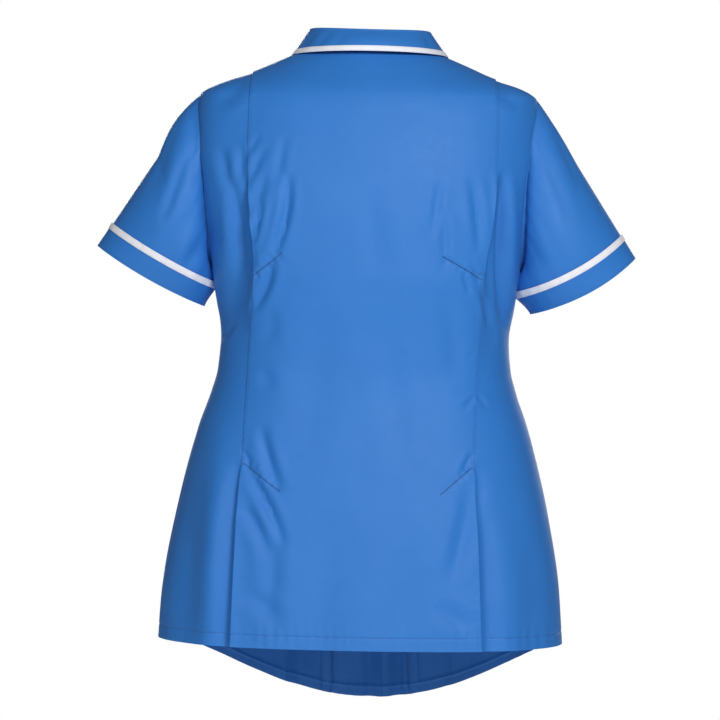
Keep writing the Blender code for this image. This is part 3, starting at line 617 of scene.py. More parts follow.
# Back side panels. Each is shaped cloth from the shoulder and armhole to the hem, sewn under the centre
# panel's fold and to the front along the side seam.
VALLEY_DEPTH = {LEFT: 1.25, RIGHT: 0.9}
ARMHOLE_SINK = 0.0006


def under_rise(face, side, angle, level):
    """Height of a side panel: it falls in beside its neighbour's fold, and a little along the armhole."""
    fold, end = fold_angle(face, side, level), side_angle(face, level)
    speed = pace(face, fold, level)
    out = np.abs(angle - fold) * speed / column(face.pleats, "reach", level)
    rise = -VALLEY_DEPTH[side] * column(face.pleats, "valley", level) * (out * np.exp(1 - out)) ** 2
    rise = rise + pucker(np.abs(angle - fold) * speed, level + 0.004)
    at_armhole = (level > UNDERARM_LEVEL) & (level < TIP_LEVEL)
    edge = np.abs(end - angle) * speed
    rise = rise - np.where(at_armhole, ARMHOLE_SINK * np.exp(-edge / 0.004), 0.0)
    return rise + np.where(at_armhole, pucker(edge, level, 0.0003, 0.009, 0.0125), 0.0)


def under_half(face, side, level, shares):
    """A side panel: from below its neighbour's fold out to the side seam or armhole."""
    fold, end = fold_angle(face, side, level), side_angle(face, level)
    tuck = column(face.pleats, "tuck", level) / pace(face, fold, level)
    hidden = np.linspace(1.0, 0.0, 6)[:-1]
    angle = fold + (end - fold) * shares
    return np.concatenate([
        lay(face, side, fold - tuck * hidden, level, 0.0 * tuck * hidden),
        lay(face, side, angle, level, under_rise(face, side, angle, level)),
    ], axis=1)


def side_levels(face, side):
    """Rows of a side panel, from where the seam line leaves the shoulder, closer together at the
    armhole's ends."""
    line = column(face.pleats, "line", levels[:, 0]) + side * column(face.pleats, "shift", levels[:, 0])
    over = column(SECTIONS, "half_width", levels[:, 0]) > line
    top = levels[:, 0][over][0]
    shoulder = np.linspace(top, TIP_LEVEL, 14)[:-1]
    turn = np.linspace(0.0, math.pi, 90)
    armhole = TIP_LEVEL + (UNDERARM_LEVEL - TIP_LEVEL) * (1 - np.cos(turn)) / 2
    return np.concatenate([shoulder, armhole, rows_between(face, UNDERARM_LEVEL, HEM_LEVEL)[1:]])[:, None]


side_shares = np.linspace(0.0, 1.0, 44)


def side_panel(face, side):
    rows = side_levels(face, side)
    node = f"{face.name}_side_{SIDE_NAMES[side]}"
    grid = under_half(face, side, rows, side_shares)
    piece = shell(node + "_cloth", grid, blue_twill, turned=hem_turn(face, rows), flip=side * face.way > 0)
    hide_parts(node)
    level = np.full(200, face.hem_line)
    fold = fold_angle(face, side, level)
    angle = fold + (side_angle(face, level) - fold) * np.linspace(0.03, 0.99, 200)
    hem = lay(face, side, angle, level, under_rise(face, side, angle, level) + CLOTH / 2)
    sew(node + "_stitches", [hem], blue_thread, "blue_cloth")


for side in (LEFT, RIGHT):
    side_panel(BACK, side)

# Front centre panels. The same twill, cut in two for the buttoned opening and tucked at the princess seams
# into pleats that open below the waist. The right front laps over the left, with two rows of stitches.
LAP = 0.014
LAP_FADE = 0.060
FRONT_STITCHES = {LEFT: (), RIGHT: (0.004, 0.026)}
front_shares = 1 - (1 - np.linspace(0.0, 1.0, 42)) ** 1.15
levels = rows_between(FRONT, NECK_LEVEL, HEM_LEVEL)[:, None]
front_start = np.arcsin(-LAP / column(SECTIONS, "half_width", levels))


def lap_lift(x):
    """How far the right front is raised where it laps over the left one."""
    past = np.maximum(0.0, -x - LAP) / (LAP_FADE - LAP)
    return LAYER * np.maximum(0.0, 1 - past) ** 2


for side in (LEFT, RIGHT):
    lap = lap_lift if side == RIGHT else None
    grid = over_half(FRONT, side, levels, front_start, front_shares, lap)
    node = f"front_centre_{SIDE_NAMES[side]}"
    piece = shell(node + "_cloth", grid, blue_twill, turned=hem_turn(FRONT, levels), flip=side == RIGHT)
    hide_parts(node)
    paths = [over_seam(FRONT, side, -0.020, -0.372, lap=lap)]
    level = np.linspace(NECK_LEVEL - 0.004, HEM_LEVEL + 0.002, 400)
    for inset in FRONT_STITCHES[side]:
        angle = np.arcsin((inset - LAP) / column(SECTIONS, "half_width", level))
        out = over_rise(FRONT, side, angle, level, lap) + CLOTH / 2
        paths.append(lay(FRONT, side, angle, level, out))
    level = np.full(200, FRONT.hem_line)
    angle = np.linspace(-0.045, 0.97, 200) * fold_angle(FRONT, side, level)
    paths.append(lay(FRONT, side, angle, level, over_rise(FRONT, side, angle, level, lap) + CLOTH / 2))
    sew(node + "_stitches", paths, blue_thread, "blue_cloth")

# Seam allowances. Inside the front, each pleat's inner seam leaves a strip of the twill that shows below
# the back hem. Its edge is neatened with thread, and it lies flat on the side panel.
ALLOWANCE_WALL = 0.0008
for side in (LEFT, RIGHT):
    level = levels[levels[:, 0] < -0.380]
    speed = pace(FRONT, fold_angle(FRONT, side, level), level)
    inner = fold_angle(FRONT, side, level) - column(FRONT_PLEAT, "tuck", level) / speed
    angle = inner + (0.004 - 0.012 * np.linspace(0.0, 1.0, 5)) / speed
    out = -0.0016 + 0.0006 * np.sin(level * 190 + 2 * np.sin(level * 61)) * np.linspace(0.0, 1.0, 5)
    name = f"front_allowance_{SIDE_NAMES[side]}"
    strip = lay(FRONT, side, angle, level, out)
    piece = shell(name, strip, blue_twill, wall=ALLOWANCE_WALL, flip=side == RIGHT)
    edge = lay(FRONT, side, angle[:, -1] + 0.002 / speed[:, 0], level[:, 0], out[:, -1] - 0.0005)
    sew(name + "_stitches", [edge], blue_thread, "blue_cloth")

# Front side panels. Shaped twill like the back ones, with a deeper armhole and fuller below the waist,
# sewn under the front centre panel's fold and to the back along the side seam.
for side in (LEFT, RIGHT):
    side_panel(FRONT, side)

# Shoulder seam allowances. The twill's two edges at the shoulder seam are neatened together, and lie
# flat inside along it.
SHOULDER_ALLOWANCE = 0.010
for side in (LEFT, RIGHT):
    level = np.linspace(NECK_LEVEL - 0.001, TIP_LEVEL + 0.001, 40)[:, None]
    halves = []
    for face, shares in ((BACK, np.linspace(1.0, 0.0, 5)), (FRONT, np.linspace(0.0, 1.0, 5))):
        end = side_angle(face, level)
        angle = end - shares * SHOULDER_ALLOWANCE / pace(face, end - 0.05, level)
        halves.append(lay(face, side, angle, level, -0.0010))
    name = f"shoulder_allowance_{SIDE_NAMES[side]}"
    piece = shell(name, np.concatenate(halves, axis=1), blue_twill, flip=side < 0)

# Sleeves. Short sleeves of the same twill, closed along the underarm, set in and eased into the armhole
# with a soft roll at the seam.
SleeveHem = namedtuple("SleeveHem", "side outer_x outer_z inner_x inner_z bow")
SLEEVE_HEMS = (
    SleeveHem(LEFT, 0.3225, -0.2345, 0.1955, -0.3040, 0.004),
    SleeveHem(RIGHT, 0.3215, -0.2390, 0.2000, -0.3070, 0.010),
)
SLEEVE_MIDDLE = -0.004
SLEEVE_HALF_DEPTH = 0.050
SLEEVE_FULLNESS = 0.016
SLEEVE_CROWN = {LEFT: 0.005, RIGHT: 0.001}
SLEEVE_HEAD_DEPTH = {LEFT: 0.0040, RIGHT: 0.0016}
UNDERARM_PULL = {LEFT: 0.0090, RIGHT: 0.0150}
UNDERARM_RISE = {LEFT: 0.0035, RIGHT: 0.0060}
PULL_TURN = 0.60
PULL_HEIGHT = 0.021
CROWN_REACH = 0.4
CUFF_DEPTH = 0.032
ARMHOLE_GAP = 0.0012

# Sleeve creases, by the turn round the sleeve (0 on top, 90 at the back) and the share of the way down.
SleeveCrease = namedtuple("SleeveCrease", "side turn_top top turn_low low width depth")
SLEEVE_CREASES = (
    SleeveCrease(LEFT, 62, 0.04, 78, 0.60, 0.007, 0.0022),
    SleeveCrease(LEFT, 100, 0.15, 92, 0.85, 0.009, 0.0020),
    SleeveCrease(LEFT, 126, 0.10, 118, 0.70, 0.008, 0.0026),
    SleeveCrease(LEFT, 30, 0.10, 44, 0.55, 0.010, 0.0014),
    SleeveCrease(RIGHT, 58, 0.05, 70, 0.55, 0.009, 0.0010),
    SleeveCrease(RIGHT, 96, 0.20, 104, 0.80, 0.010, 0.0012),
    SleeveCrease(RIGHT, 122, 0.10, 116, 0.75, 0.009, 0.0014),
    SleeveCrease(RIGHT, 24, 0.12, 36, 0.50, 0.009, 0.0013),
    SleeveCrease(LEFT, 262, 0.10, 272, 0.70, 0.009, 0.0024),
    SleeveCrease(LEFT, 300, 0.08, 286, 0.60, 0.008, 0.0020),
    SleeveCrease(LEFT, 234, 0.12, 244, 0.80, 0.009, 0.0024),
    SleeveCrease(RIGHT, 266, 0.12, 258, 0.75, 0.009, 0.0022),
    SleeveCrease(RIGHT, 304, 0.06, 290, 0.55, 0.008, 0.0020),
    SleeveCrease(RIGHT, 236, 0.10, 246, 0.70, 0.010, 0.0024),
)
SLEEVE_RADIUS = 0.070
SLEEVE_LENGTH = 0.180
sleeve_turns = np.linspace(0.0, 2 * math.pi, 132, endpoint=False)


def armhole(side, turn, depth=0.0, off=ARMHOLE_GAP):
    """Points round one armhole, from the shoulder down the back and up the front, just off the panels."""
    level = TIP_LEVEL + (UNDERARM_LEVEL - TIP_LEVEL) * (1 - np.cos(turn)) / 2
    off = off * np.minimum(1.0, 4 * np.abs(np.sin(turn)))
    ways = [lay(face, side, side_angle(face, level), level, LAYER - depth, off) for face in (BACK, FRONT)]
    return np.where((turn <= math.pi)[:, None], ways[0], ways[1])


def sleeve_hem(hem, turn):
    outer = np.array([hem.outer_x, SLEEVE_MIDDLE, hem.outer_z])
    inner = np.array([hem.inner_x, SLEEVE_MIDDLE, hem.inner_z])
    centre, radius = (outer + inner) / 2, (outer - inner) / 2
    down = unit(np.array([radius[2], 0.0, -radius[0]]))
    points = centre + radius * np.cos(turn)[:, None] + down * (hem.bow * np.sin(turn) ** 2)[:, None]
    points[:, 1] += SLEEVE_HALF_DEPTH * np.sin(turn)
    return points * np.array([hem.side, 1.0, 1.0])


def sleeve_grid(hem, heights, out=0.0):
    """Grid of points on a sleeve, at rows of heights above its hem, and its length at each column."""
    turn = sleeve_turns
    top, low = armhole(hem.side, turn), sleeve_hem(hem, turn)
    length = np.linalg.norm(low - top, axis=-1)
    share = 1 - heights / length
    point = top + (low - top) * share[..., None]
    point[..., 1] += SLEEVE_FULLNESS * np.sin(turn) * np.sin(math.pi * share)
    crown = SLEEVE_CROWN[hem.side] * np.maximum(0.0, np.cos(turn))
    crown = crown * np.sin(math.pi * np.minimum(1.0, share / CROWN_REACH))
    # The underarm seam is drawn in towards the body, so the cuff's inner corner slants.
    pull = np.exp(-((turn - math.pi) / PULL_TURN) ** 2)
    pull = pull * np.exp(-(np.abs(heights - CUFF_DEPTH) / PULL_HEIGHT) ** 2.5)
    pull = pull * np.clip(share * length / 0.008, 0.0, 1.0)
    point[..., 0] += hem.side * (crown - UNDERARM_PULL[hem.side] * pull)
    point[..., 2] += crown
    width = unit(np.array([hem.outer_x - hem.inner_x, hem.outer_z - hem.inner_z]))
    outward = np.stack([hem.side * width[0] * np.cos(turn), np.sin(turn), width[1] * np.cos(turn)], axis=-1)
    lift = np.zeros(share.shape) + out
    for crease in SLEEVE_CREASES:
        if crease.side != hem.side:
            continue
        run = np.array([math.radians(crease.turn_low - crease.turn_top) * SLEEVE_RADIUS,
                        (crease.low - crease.top) * SLEEVE_LENGTH])
        x = (turn - math.radians(crease.turn_top)) * SLEEVE_RADIUS
        z = (share - crease.top) * SLEEVE_LENGTH
        along = np.clip((x * run[0] + z * run[1]) / (run @ run), 0.0, 1.0)
        across = np.abs(x * run[1] - z * run[0]) / math.sqrt(run @ run) / crease.width
        profile = np.exp(-across ** 2) - 0.3 * np.exp(-(across - 2.0) ** 2)
        lift = lift - crease.depth * np.sin(math.pi * along) ** 0.8 * profile
    seam = share * length
    head = np.exp(-((np.abs(turn - math.pi) - 2.2) / 0.55) ** 2)
    from_underarm = np.abs(turn - math.pi)
    low_half = np.clip((math.pi - from_underarm - 1.0) / 0.6, 0.0, 1.0)
    low_half = low_half * np.clip(from_underarm / 0.7 - 0.2, 0.0, 1.0)
    roll = -(0.0012 + 0.0058 * low_half) * np.exp(-(seam / (0.0040 + 0.0030 * low_half)) ** 1.5)
    roll = roll - SLEEVE_HEAD_DEPTH[hem.side] * head * np.exp(-((seam - 0.010) / 0.010) ** 2)
    ease = pucker(seam, turn * SLEEVE_RADIUS, 0.0006, 0.016, 0.014)
    lift = lift + (roll + ease) * np.minimum(1.0, np.sin(turn / 2) * 2 + 0.2)
    return point + unit(outward) * lift[..., None], length


def cuff_top(side):
    """Height of the cuff's seam above the hem, lower at the underarm."""
    return CUFF_DEPTH - UNDERARM_RISE[side] * ((1 - np.cos(sleeve_turns)) / 2) ** 5


for hem in SLEEVE_HEMS:
    word = SIDE_NAMES[hem.side]
    length = sleeve_grid(hem, np.zeros((1, 1)))[1]
    down = np.linspace(0.0, 1.0, 64)[:, None]
    grid = sleeve_grid(hem, length + (cuff_top(hem.side) - 0.004 - length) * down)[0]
    # The seam allowance lies inside, under the panels' edge.
    inside = ((0.013, -0.005), (0.011, -0.003), (0.009, -0.001), (0.0075, 0.0005))
    turned_in = [armhole(hem.side, sleeve_turns, depth, off) for depth, off in inside]
    grid = np.concatenate([np.stack(turned_in), grid])
    piece = shell(f"sleeve_{word}_cloth", grid, blue_twill, closed=True, flip=hem.side == LEFT)
    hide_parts(f"sleeve_{word}")

# Cuffs. A straight band of the same twill, turned up on each sleeve and caught in its seam, so it is two
# layers thick.
CUFF_WALL = 0.0012
for hem in SLEEVE_HEMS:
    word = SIDE_NAMES[hem.side]
    heights = (cuff_top(hem.side) - SEAM_GAP) * (1 - np.linspace(0.0, 1.0, 16)[:, None])
    ripple = pucker(CUFF_DEPTH - heights, sleeve_turns * SLEEVE_RADIUS, 0.0005, 0.014, 0.016)
    grid = sleeve_grid(hem, heights, 0.0008 + ripple)[0]
    piece = shell(f"cuff_{word}_cloth", grid, blue_twill, wall=CUFF_WALL, closed=True, flip=hem.side == LEFT)
    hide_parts(f"cuff_{word}")

# The cuff is top-stitched along its lower edge.
for hem in SLEEVE_HEMS:
    path = sleeve_grid(hem, np.full((1, 1), 0.0025), 0.0008 + CUFF_WALL / 2)[0][0]
    path = np.concatenate([path, path[:1]])
    sew(f"cuff_{SIDE_NAMES[hem.side]}_stitches", [path], blue_thread, "blue_cloth")

# Cuff tapes. White woven polyester tape, one length round each sleeve, sewn down flat along both edges
# over the seam between sleeve and cuff.
TAPE_WIDTH = 0.0078
TAPE_WALL = 0.0007
TAPE_STITCHES = (0.0011, TAPE_WIDTH - 0.0011)


def tape_weave(name, colour, shade):
    """Woven tape: close ribs across its width and a firm edge."""
    finish = Finish(name, Sheen_Weight=0.15, Sheen_Roughness=0.4, Specular_IOR_Level=0.25)
    cut = finish.node("ShaderNodeTexCoord", output=2)
    axes = finish.node("ShaderNodeSeparateXYZ", None, {0: cut})
    ribs = (axes * (2 * math.pi / 0.0008)).sine() * 0.5 + 0.5
    place = finish.node("ShaderNodeTexCoord", output=3)
    grime = finish.noise(place, 60.0, 3.0, 0.6)
    finish.feed("Base Color", finish.mix(grime * 0.7 + ribs * 0.3, shade, colour))
    finish.feed("Roughness", 0.55 + grime * 0.15)
    finish.feed("Normal", finish.bump(ribs + grime * 0.5, 0.4, 0.00012))
    return finish.material


white_tape = tape_weave("white_tape", (0.96, 0.96, 1.00), (0.86, 0.86, 0.92))
white_thread = thread("white_thread", (0.72, 0.72, 0.78))
for hem in SLEEVE_HEMS:
    word = SIDE_NAMES[hem.side]
    across = np.linspace(0.0, 1.0, 6)[:, None]
    crown = 0.0003 * np.sin(math.pi * across)
    ripple = pucker(0.0, sleeve_turns * SLEEVE_RADIUS, 0.00025, 0.014, 0.016)
    top = cuff_top(hem.side) + 0.001
    grid = sleeve_grid(hem, top - TAPE_WIDTH * across, 0.0018 + crown + ripple)[0]
    node = f"cuff_tape_{word}"
    piece = shell(node + "_cloth", grid, white_tape, wall=TAPE_WALL, closed=True, flip=hem.side == LEFT)
    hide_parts(node)
    paths = []
    for inset in TAPE_STITCHES:
        path = sleeve_grid(hem, (top - inset)[None], 0.0019 + TAPE_WALL / 2)[0][0]
        paths.append(np.concatenate([path, path[:1]]))
    sew(node + "_stitches", paths, white_thread, "white_tape")

# Collar. Two layers with a light stiffener, in one with its stand: it rises from the neck seam, rolls over
# and falls to the shoulders, with a point each side of the opening.
COLLAR_WALL = 0.0012
COLLAR_END = 0.05
STAND_GAP = 0.0010
ROLL_HALF_WIDTH = 0.0712
ROLL_BACK = 0.057
ROLL_FRONT = 0.068
ROLL_LEVEL = 0.0225
ROLL_FRONT_LEVEL = -0.050
ROLL_RADIUS = 0.0020
EDGE_BACK = 0.0755
EDGE_BACK_LEVEL = -0.0025
EDGE_SHOULDER_LEVEL = -0.0042
EDGE_POINT_LEVEL = -0.085
EDGE_POINT_OUT = 0.052
COLLAR_OFF_SHOULDER = 0.0020
COLLAR_OFF_CHEST = 0.0080
ROLL_SIDE_RISE = 0.0040
ROLL_TILT = 0.0008
COLLAR_BOW = 0.004

# Dents that handling leaves in the outer leaf, by the turn round the neck (0 at the back).
Dent = namedtuple("Dent", "turn width depth")
COLLAR_DENTS = (
    Dent(0.98, 0.12, 0.0013),
    Dent(0.64, 0.10, 0.0015),
    Dent(0.36, 0.09, 0.0012),
    Dent(-0.55, 0.16, 0.0008),
    Dent(-1.05, 0.10, 0.0014),
    Dent(1.9, 0.20, 0.0016),
    Dent(-2.1, 0.22, 0.0014),
)
collar_turns = np.linspace(math.pi - COLLAR_END, COLLAR_END - math.pi, 221)


def neck_seam(turn):
    """Lower edge of the stand, just above the panels' neck edge. Turn 0 is the back, and half a turn is
    the front."""
    result = np.zeros((len(turn), 3))
    for k, angle in enumerate(turn):
        side = LEFT if angle >= 0 else RIGHT
        face, around = (BACK, abs(angle)) if abs(angle) <= math.pi / 2 else (FRONT, math.pi - abs(angle))
        level = np.array(NECK_LEVEL)
        point = lay(face, side, around, level, 2 * LAYER)
        above = body(face, side, around, level + 1e-4) - body(face, side, around, level)
        result[k] = point + unit(above) * STAND_GAP
    return result


def roll_line(turn):
    sine, cosine = np.sin(turn), np.cos(turn)
    depth = np.where(cosine >= 0, ROLL_BACK, ROLL_FRONT)
    drop = np.where(cosine >= 0, 0.0, (ROLL_FRONT_LEVEL - ROLL_LEVEL) * cosine ** 2)
    height = ROLL_LEVEL + ROLL_SIDE_RISE * sine ** 2 + ROLL_TILT * sine + drop
    return np.stack([ROLL_HALF_WIDTH * sine, depth * cosine, height], axis=-1)


def outer_edge(turn):
    """Outer edge of the collar: level round the back, then down over the chest to the points."""
    shoulder = column(SECTIONS, "half_width", np.array(EDGE_SHOULDER_LEVEL))
    result = np.zeros((len(turn), 3))
    for k, angle in enumerate(turn):
        side = LEFT if angle >= 0 else RIGHT
        past = max(0.0, (abs(angle) - math.pi / 2) / (math.pi / 2 - COLLAR_END))
        level = np.array(EDGE_SHOULDER_LEVEL + (EDGE_POINT_LEVEL - EDGE_SHOULDER_LEVEL) * past * past)
        half = column(SECTIONS, "half_width", level)
        out = min(1.0, float((shoulder + (EDGE_POINT_OUT - shoulder) * past) / half))
        off = COLLAR_OFF_SHOULDER + (COLLAR_OFF_CHEST - COLLAR_OFF_SHOULDER) * min(1.0, past / 0.35)
        point = lay(FRONT, side, np.array(math.asin(out)), level, off)
        if past == 0:
            sine, cosine = math.sin(angle), math.cos(angle)
            height = EDGE_BACK_LEVEL + (point[2] - EDGE_BACK_LEVEL) * sine * sine
            point = np.array([abs(point[0]) * sine, EDGE_BACK * cosine, height])
        result[k] = point
    return result


collar_seam = neck_seam(collar_turns)
collar_roll = roll_line(collar_turns)
collar_edge = outer_edge(collar_turns)
collar_out = np.stack([np.sin(collar_turns), np.cos(collar_turns), 0 * collar_turns], axis=-1)
collar_depth = np.linalg.norm(collar_edge - collar_roll, axis=-1)


def collar_fall(share, lift=0.0):
    """Row of the outer leaf, from the roll (0) to the outer edge (1), with its dents."""
    top = collar_roll + collar_out * ROLL_RADIUS
    row = top + (collar_edge - top) * np.asarray(share)[..., None]
    dents = 0.0
    for dent in COLLAR_DENTS:
        across = (collar_turns - dent.turn - 0.12 * np.asarray(share)) / dent.width
        dents = dents - dent.depth * np.exp(-across ** 2)
    bow = (COLLAR_BOW * np.cos(collar_turns) ** 2 + dents) * np.sin(math.pi * np.asarray(share))
    return row + collar_out * (bow + lift)[..., None]


# The stand's seam allowance goes down inside the neck edge.
rows = [collar_seam - collar_out * 0.0042 - np.array([0.0, 0.0, 0.0075])]
rows.append(collar_seam - collar_out * 0.0030 - np.array([0.0, 0.0, 0.0025]))
for share in np.linspace(0.0, 1.0, 9):
    inner = collar_roll - collar_out * ROLL_RADIUS
    rows.append(collar_seam + (inner - collar_seam) * share)
for turn in np.radians(np.arange(150, 0, -30)):
    row = collar_roll + collar_out * ROLL_RADIUS * math.cos(turn)
    rows.append(row + np.array([0.0, 0.0, ROLL_RADIUS * math.sin(turn)]))
for share in np.linspace(0.0, 1.0, 22):
    rows.append(collar_fall(share))
piece = shell("collar_cloth", np.stack(rows), blue_twill, wall=COLLAR_WALL)
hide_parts("collar")

# Collar tape. The same white woven tape in one length, sewn down along both edges round the outer edge
# of the collar, from point to point.
rows = []
for across in np.linspace(0.0, 1.0, 6):
    share = 1 - TAPE_WIDTH * (1 - across) / collar_depth
    rows.append(collar_fall(share, 0.0012 + 0.0003 * math.sin(math.pi * across)))
piece = shell("collar_tape_cloth", np.stack(rows), white_tape, wall=TAPE_WALL)
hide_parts("collar_tape")
paths = [collar_fall(1 - inset / collar_depth, 0.0013 + TAPE_WALL / 2) for inset in TAPE_STITCHES]
sew("collar_tape_stitches", paths, white_thread, "white_tape")

# Buttons. Seven blue four-hole shirt buttons of cast polyester, sewn to the left front and put through
# upright buttonholes in the right one.
BUTTON_RADIUS = 0.0075
BUTTON_THICKNESS = 0.0022
HOLE_RADIUS = 0.0009
HOLE_PLACE = 0.0012
BUTTON_LIFT = 0.0002
TOP_BUTTON_LIFT = 0.0016
BUTTONS = ("button_1", "button_2", "button_3", "button_4", "button_5", "button_6", "button_7")
plastic = Finish("blue_button", Specular_IOR_Level=0.5, Coat_Roughness=0.15)
cloud = plastic.noise(plastic.node("ShaderNodeTexCoord", output=3), 160.0, 4.0, 0.6)
plastic.feed("Base Color", plastic.mix(cloud, (0.028, 0.110, 0.360), (0.050, 0.165, 0.470)))
plastic.feed("Roughness", 0.22 + cloud * 0.16)
plastic.feed("Coat Weight", cloud * 0.3 + 0.2)


def ring_of(radius, x, y, count):
    turn = np.arange(count) * 2 * math.pi / count
    return [(x + radius * math.cos(a), y + radius * math.sin(a), 0.0) for a in turn]


def button_plate():
    """Flat round plate with four real holes and softened edges."""
    curve = bpy.data.curves.new("button_plate", "CURVE")
    curve.dimensions, curve.fill_mode = "2D", "BOTH"
    curve.extrude, curve.bevel_depth, curve.bevel_resolution = 0.0004, 0.0002, 1
    circles = [ring_of(BUTTON_RADIUS - 0.0009, 0.0, 0.0, 40)]
    for x in (-HOLE_PLACE, HOLE_PLACE):
        circles += [ring_of(HOLE_RADIUS, x, y, 12) for y in (-HOLE_PLACE, HOLE_PLACE)]
    for circle in circles:
        spline = curve.splines.new("POLY")
        spline.points.add(len(circle) - 1)
        for point, place in zip(spline.points, circle):
            point.co = (*place, 1.0)
        spline.use_cyclic_u = True
    holder = bpy.data.objects.new("button_plate", curve)
    bpy.context.scene.collection.objects.link(holder)
    mesh = bpy.data.meshes.new_from_object(holder.evaluated_get(bpy.context.evaluated_depsgraph_get()))
    bpy.data.objects.remove(holder)
    places = [tuple(vertex.co) for vertex in mesh.vertices]
    return places, [tuple(face.vertices) for face in mesh.polygons]


def button_rim():
    """Rounded rim of the button, as a ring turned from a closed profile of radius and height."""
    profile = [(0.0060, 0.0002), (0.0062, 0.0008), (0.0067, 0.0011), (0.0072, 0.0008),
               (BUTTON_RADIUS, 0.0001), (0.0074, -0.0006), (0.0068, -0.0010), (0.0060, -0.0006)]
    places, faces = [], []
    for k in range(40):
        turn = 2 * math.pi * k / 40
        places += [(r * math.cos(turn), r * math.sin(turn), h) for r, h in profile]
        for j in range(len(profile)):
            a, b = k * len(profile) + j, k * len(profile) + (j + 1) % len(profile)
            step = len(profile)
            faces.append((a, (a + step) % (40 * step), (b + step) % (40 * step), b))
    return places, faces


plate, rim = button_plate(), button_rim()
front_heights = levels[:, 0] - column(SECTIONS, "front_dip", levels[:, 0])
for name in BUTTONS:
    low, high = (Vector(corner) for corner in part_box(name))
    level = np.interp((low.z + high.z) / 2, front_heights[::-1], levels[::-1, 0])
    # The top button stands higher, clear of the cloth where the front curves in towards the neck.
    lift = TOP_BUTTON_LIFT if name == "button_1" else BUTTON_LIFT
    height = 3 * LAYER + CLOTH / 2 + BUTTON_THICKNESS / 2 + lift
    middle = Vector(lay(FRONT, RIGHT, np.array(0.0), level, height))
    up = Vector(body(FRONT, LEFT, 0.0, level + 1e-3) - body(FRONT, LEFT, 0.0, level - 1e-3)).normalized()
    right = Vector((1.0, 0.0, 0.0))
    out = right.cross(up)
    places = [middle + right * x + up * y + out * z for x, y, z in plate[0] + rim[0]]
    mesh = bpy.data.meshes.new(name + "_plastic")
    mesh.from_pydata(places, [], plate[1] + [tuple(k + len(plate[0]) for k in face) for face in rim[1]])
    mesh.shade_smooth()
    mesh.set_sharp_from_angle(angle=math.radians(40))
    mesh.materials.append(plastic.material)
    piece = bpy.data.objects.new(name + "_plastic", mesh)
    bpy.context.scene.collection.objects.link(piece)
    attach(piece, "root")
    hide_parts(name)
    bars = []
    for x in (-HOLE_PLACE, HOLE_PLACE):
        for near in (-0.0003, 0.0, 0.0003):
            ends = [middle + right * (x + near) + up * y + out * 0.0007 for y in (-HOLE_PLACE, HOLE_PLACE)]
            bars.append([list(end) for end in ends])
    bar = {"pitch": 2 * HOLE_PLACE, "length": 0.0030, "radius": 0.00028}
    sew(name + "_thread", bars, blue_thread, "blue_cloth", **bar)
    # The buttonhole is a narrow slot bound with close stitches, mostly covered by its button.
    hole = []
    for along in np.linspace(-0.0100, 0.0100, 60):
        for across in (-0.0008, 0.0008):
            place = middle + up * float(along) - out * (BUTTON_THICKNESS / 2 + 0.0004)
            hole.append([list(place + right * (across - 0.0009)), list(place + right * (across + 0.0009))])
    sew(name + "_buttonhole", hole, blue_thread, "blue_cloth", pitch=0.0018, length=0.0018, radius=0.0002)

# Stage: a pale floor far below the hem, where the wearer would stand, soft studio lights, and the camera
# at the height of the waist, turned a little to the wearer's right.
FLOOR_LEVEL = -1.40
FLOOR_RADIUS = 3.6
bpy.ops.mesh.primitive_circle_add(
    vertices=96, radius=FLOOR_RADIUS, fill_type="NGON", location=(0.0, 0.0, FLOOR_LEVEL))
floor = bpy.context.object
floor.name = "floor"
pale = Finish("pale_floor", Roughness=0.8)
patches = pale.noise(pale.node("ShaderNodeTexCoord", output=3), 1.5)
pale.feed("Base Color", pale.mix(patches, (0.90, 0.90, 0.91), (0.95, 0.95, 0.96)))
floor.data.materials.append(pale.material)

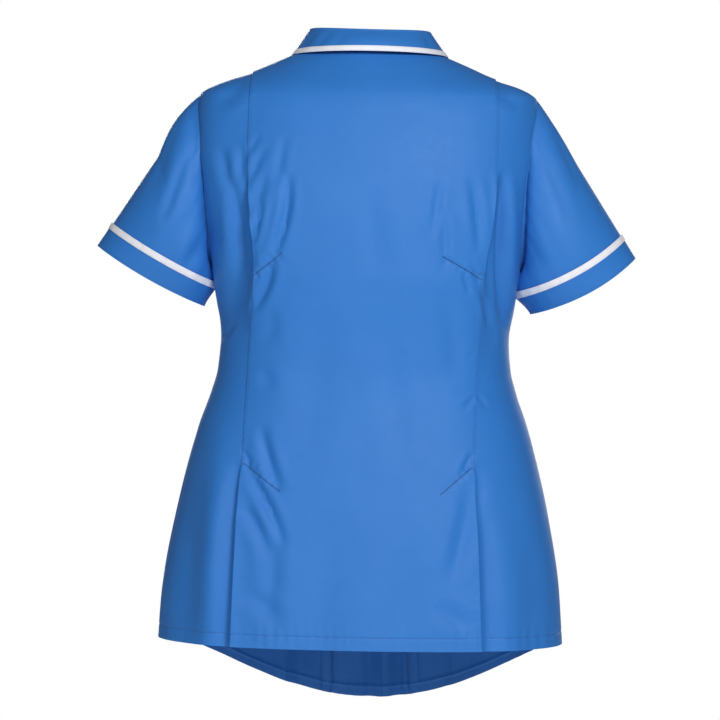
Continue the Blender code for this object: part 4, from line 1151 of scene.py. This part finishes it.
world = bpy.data.worlds.new("studio")
bpy.context.scene.world = world
world.use_nodes = True
world.node_tree.nodes["Background"].inputs["Color"].default_value = (0.93, 0.94, 0.96, 1.0)
world.node_tree.nodes["Background"].inputs["Strength"].default_value = 0.10
seen = world.node_tree.nodes.new("ShaderNodeBackground")
seen.inputs["Color"].default_value = (1.0, 1.0, 1.0, 1.0)
path = world.node_tree.nodes.new("ShaderNodeLightPath")
either = world.node_tree.nodes.new("ShaderNodeMixShader")
world.node_tree.links.new(path.outputs["Is Camera Ray"], either.inputs[0])
world.node_tree.links.new(world.node_tree.nodes["Background"].outputs[0], either.inputs[1])
world.node_tree.links.new(seen.outputs[0], either.inputs[2])
world.node_tree.links.new(either.outputs[0], world.node_tree.nodes["World Output"].inputs["Surface"])

MIDDLE = Vector((0.0, 0.0, -0.38))
Lamp = namedtuple("Lamp", "name x y z size watts")
LAMPS = (
    Lamp("key", -1.2, 3.2, 1.2, 0.9, 84.0),
    Lamp("fill", 1.5, 3.2, 0.5, 1.2, 28.0),
    Lamp("front", 0.7, -3.4, 0.4, 0.9, 70.0),
    Lamp("front_fill", -1.2, -3.2, 0.0, 1.2, 18.0),
)
for lamp in LAMPS:
    light = bpy.data.lights.new(lamp.name, "AREA")
    light.size, light.energy = lamp.size, lamp.watts
    holder = bpy.data.objects.new(lamp.name, light)
    holder.location = (lamp.x, lamp.y, lamp.z)
    holder.rotation_mode = "QUATERNION"
    holder.rotation_quaternion = (MIDDLE - holder.location).to_track_quat("-Z", "Y")
    bpy.context.scene.collection.objects.link(holder)

DISTANCE = 3.6
AZIMUTH = math.radians(1.0)
ROLL = math.radians(1.0)
EYE = Vector((0.0055, 0.0, -0.366))
camera = bpy.data.objects.new("camera", bpy.data.cameras.new("camera"))
camera.data.lens = 150.0
camera.location = EYE + Vector((-math.sin(AZIMUTH), math.cos(AZIMUTH), 0.0)) * DISTANCE
camera.rotation_mode = "QUATERNION"
camera.rotation_quaternion = (EYE - camera.location).to_track_quat("-Z", "Y") @ Quaternion((0, 0, 1), ROLL)
bpy.context.scene.collection.objects.link(camera)
bpy.context.scene.camera = camera
bpy.context.scene.view_settings.view_transform = "Standard"
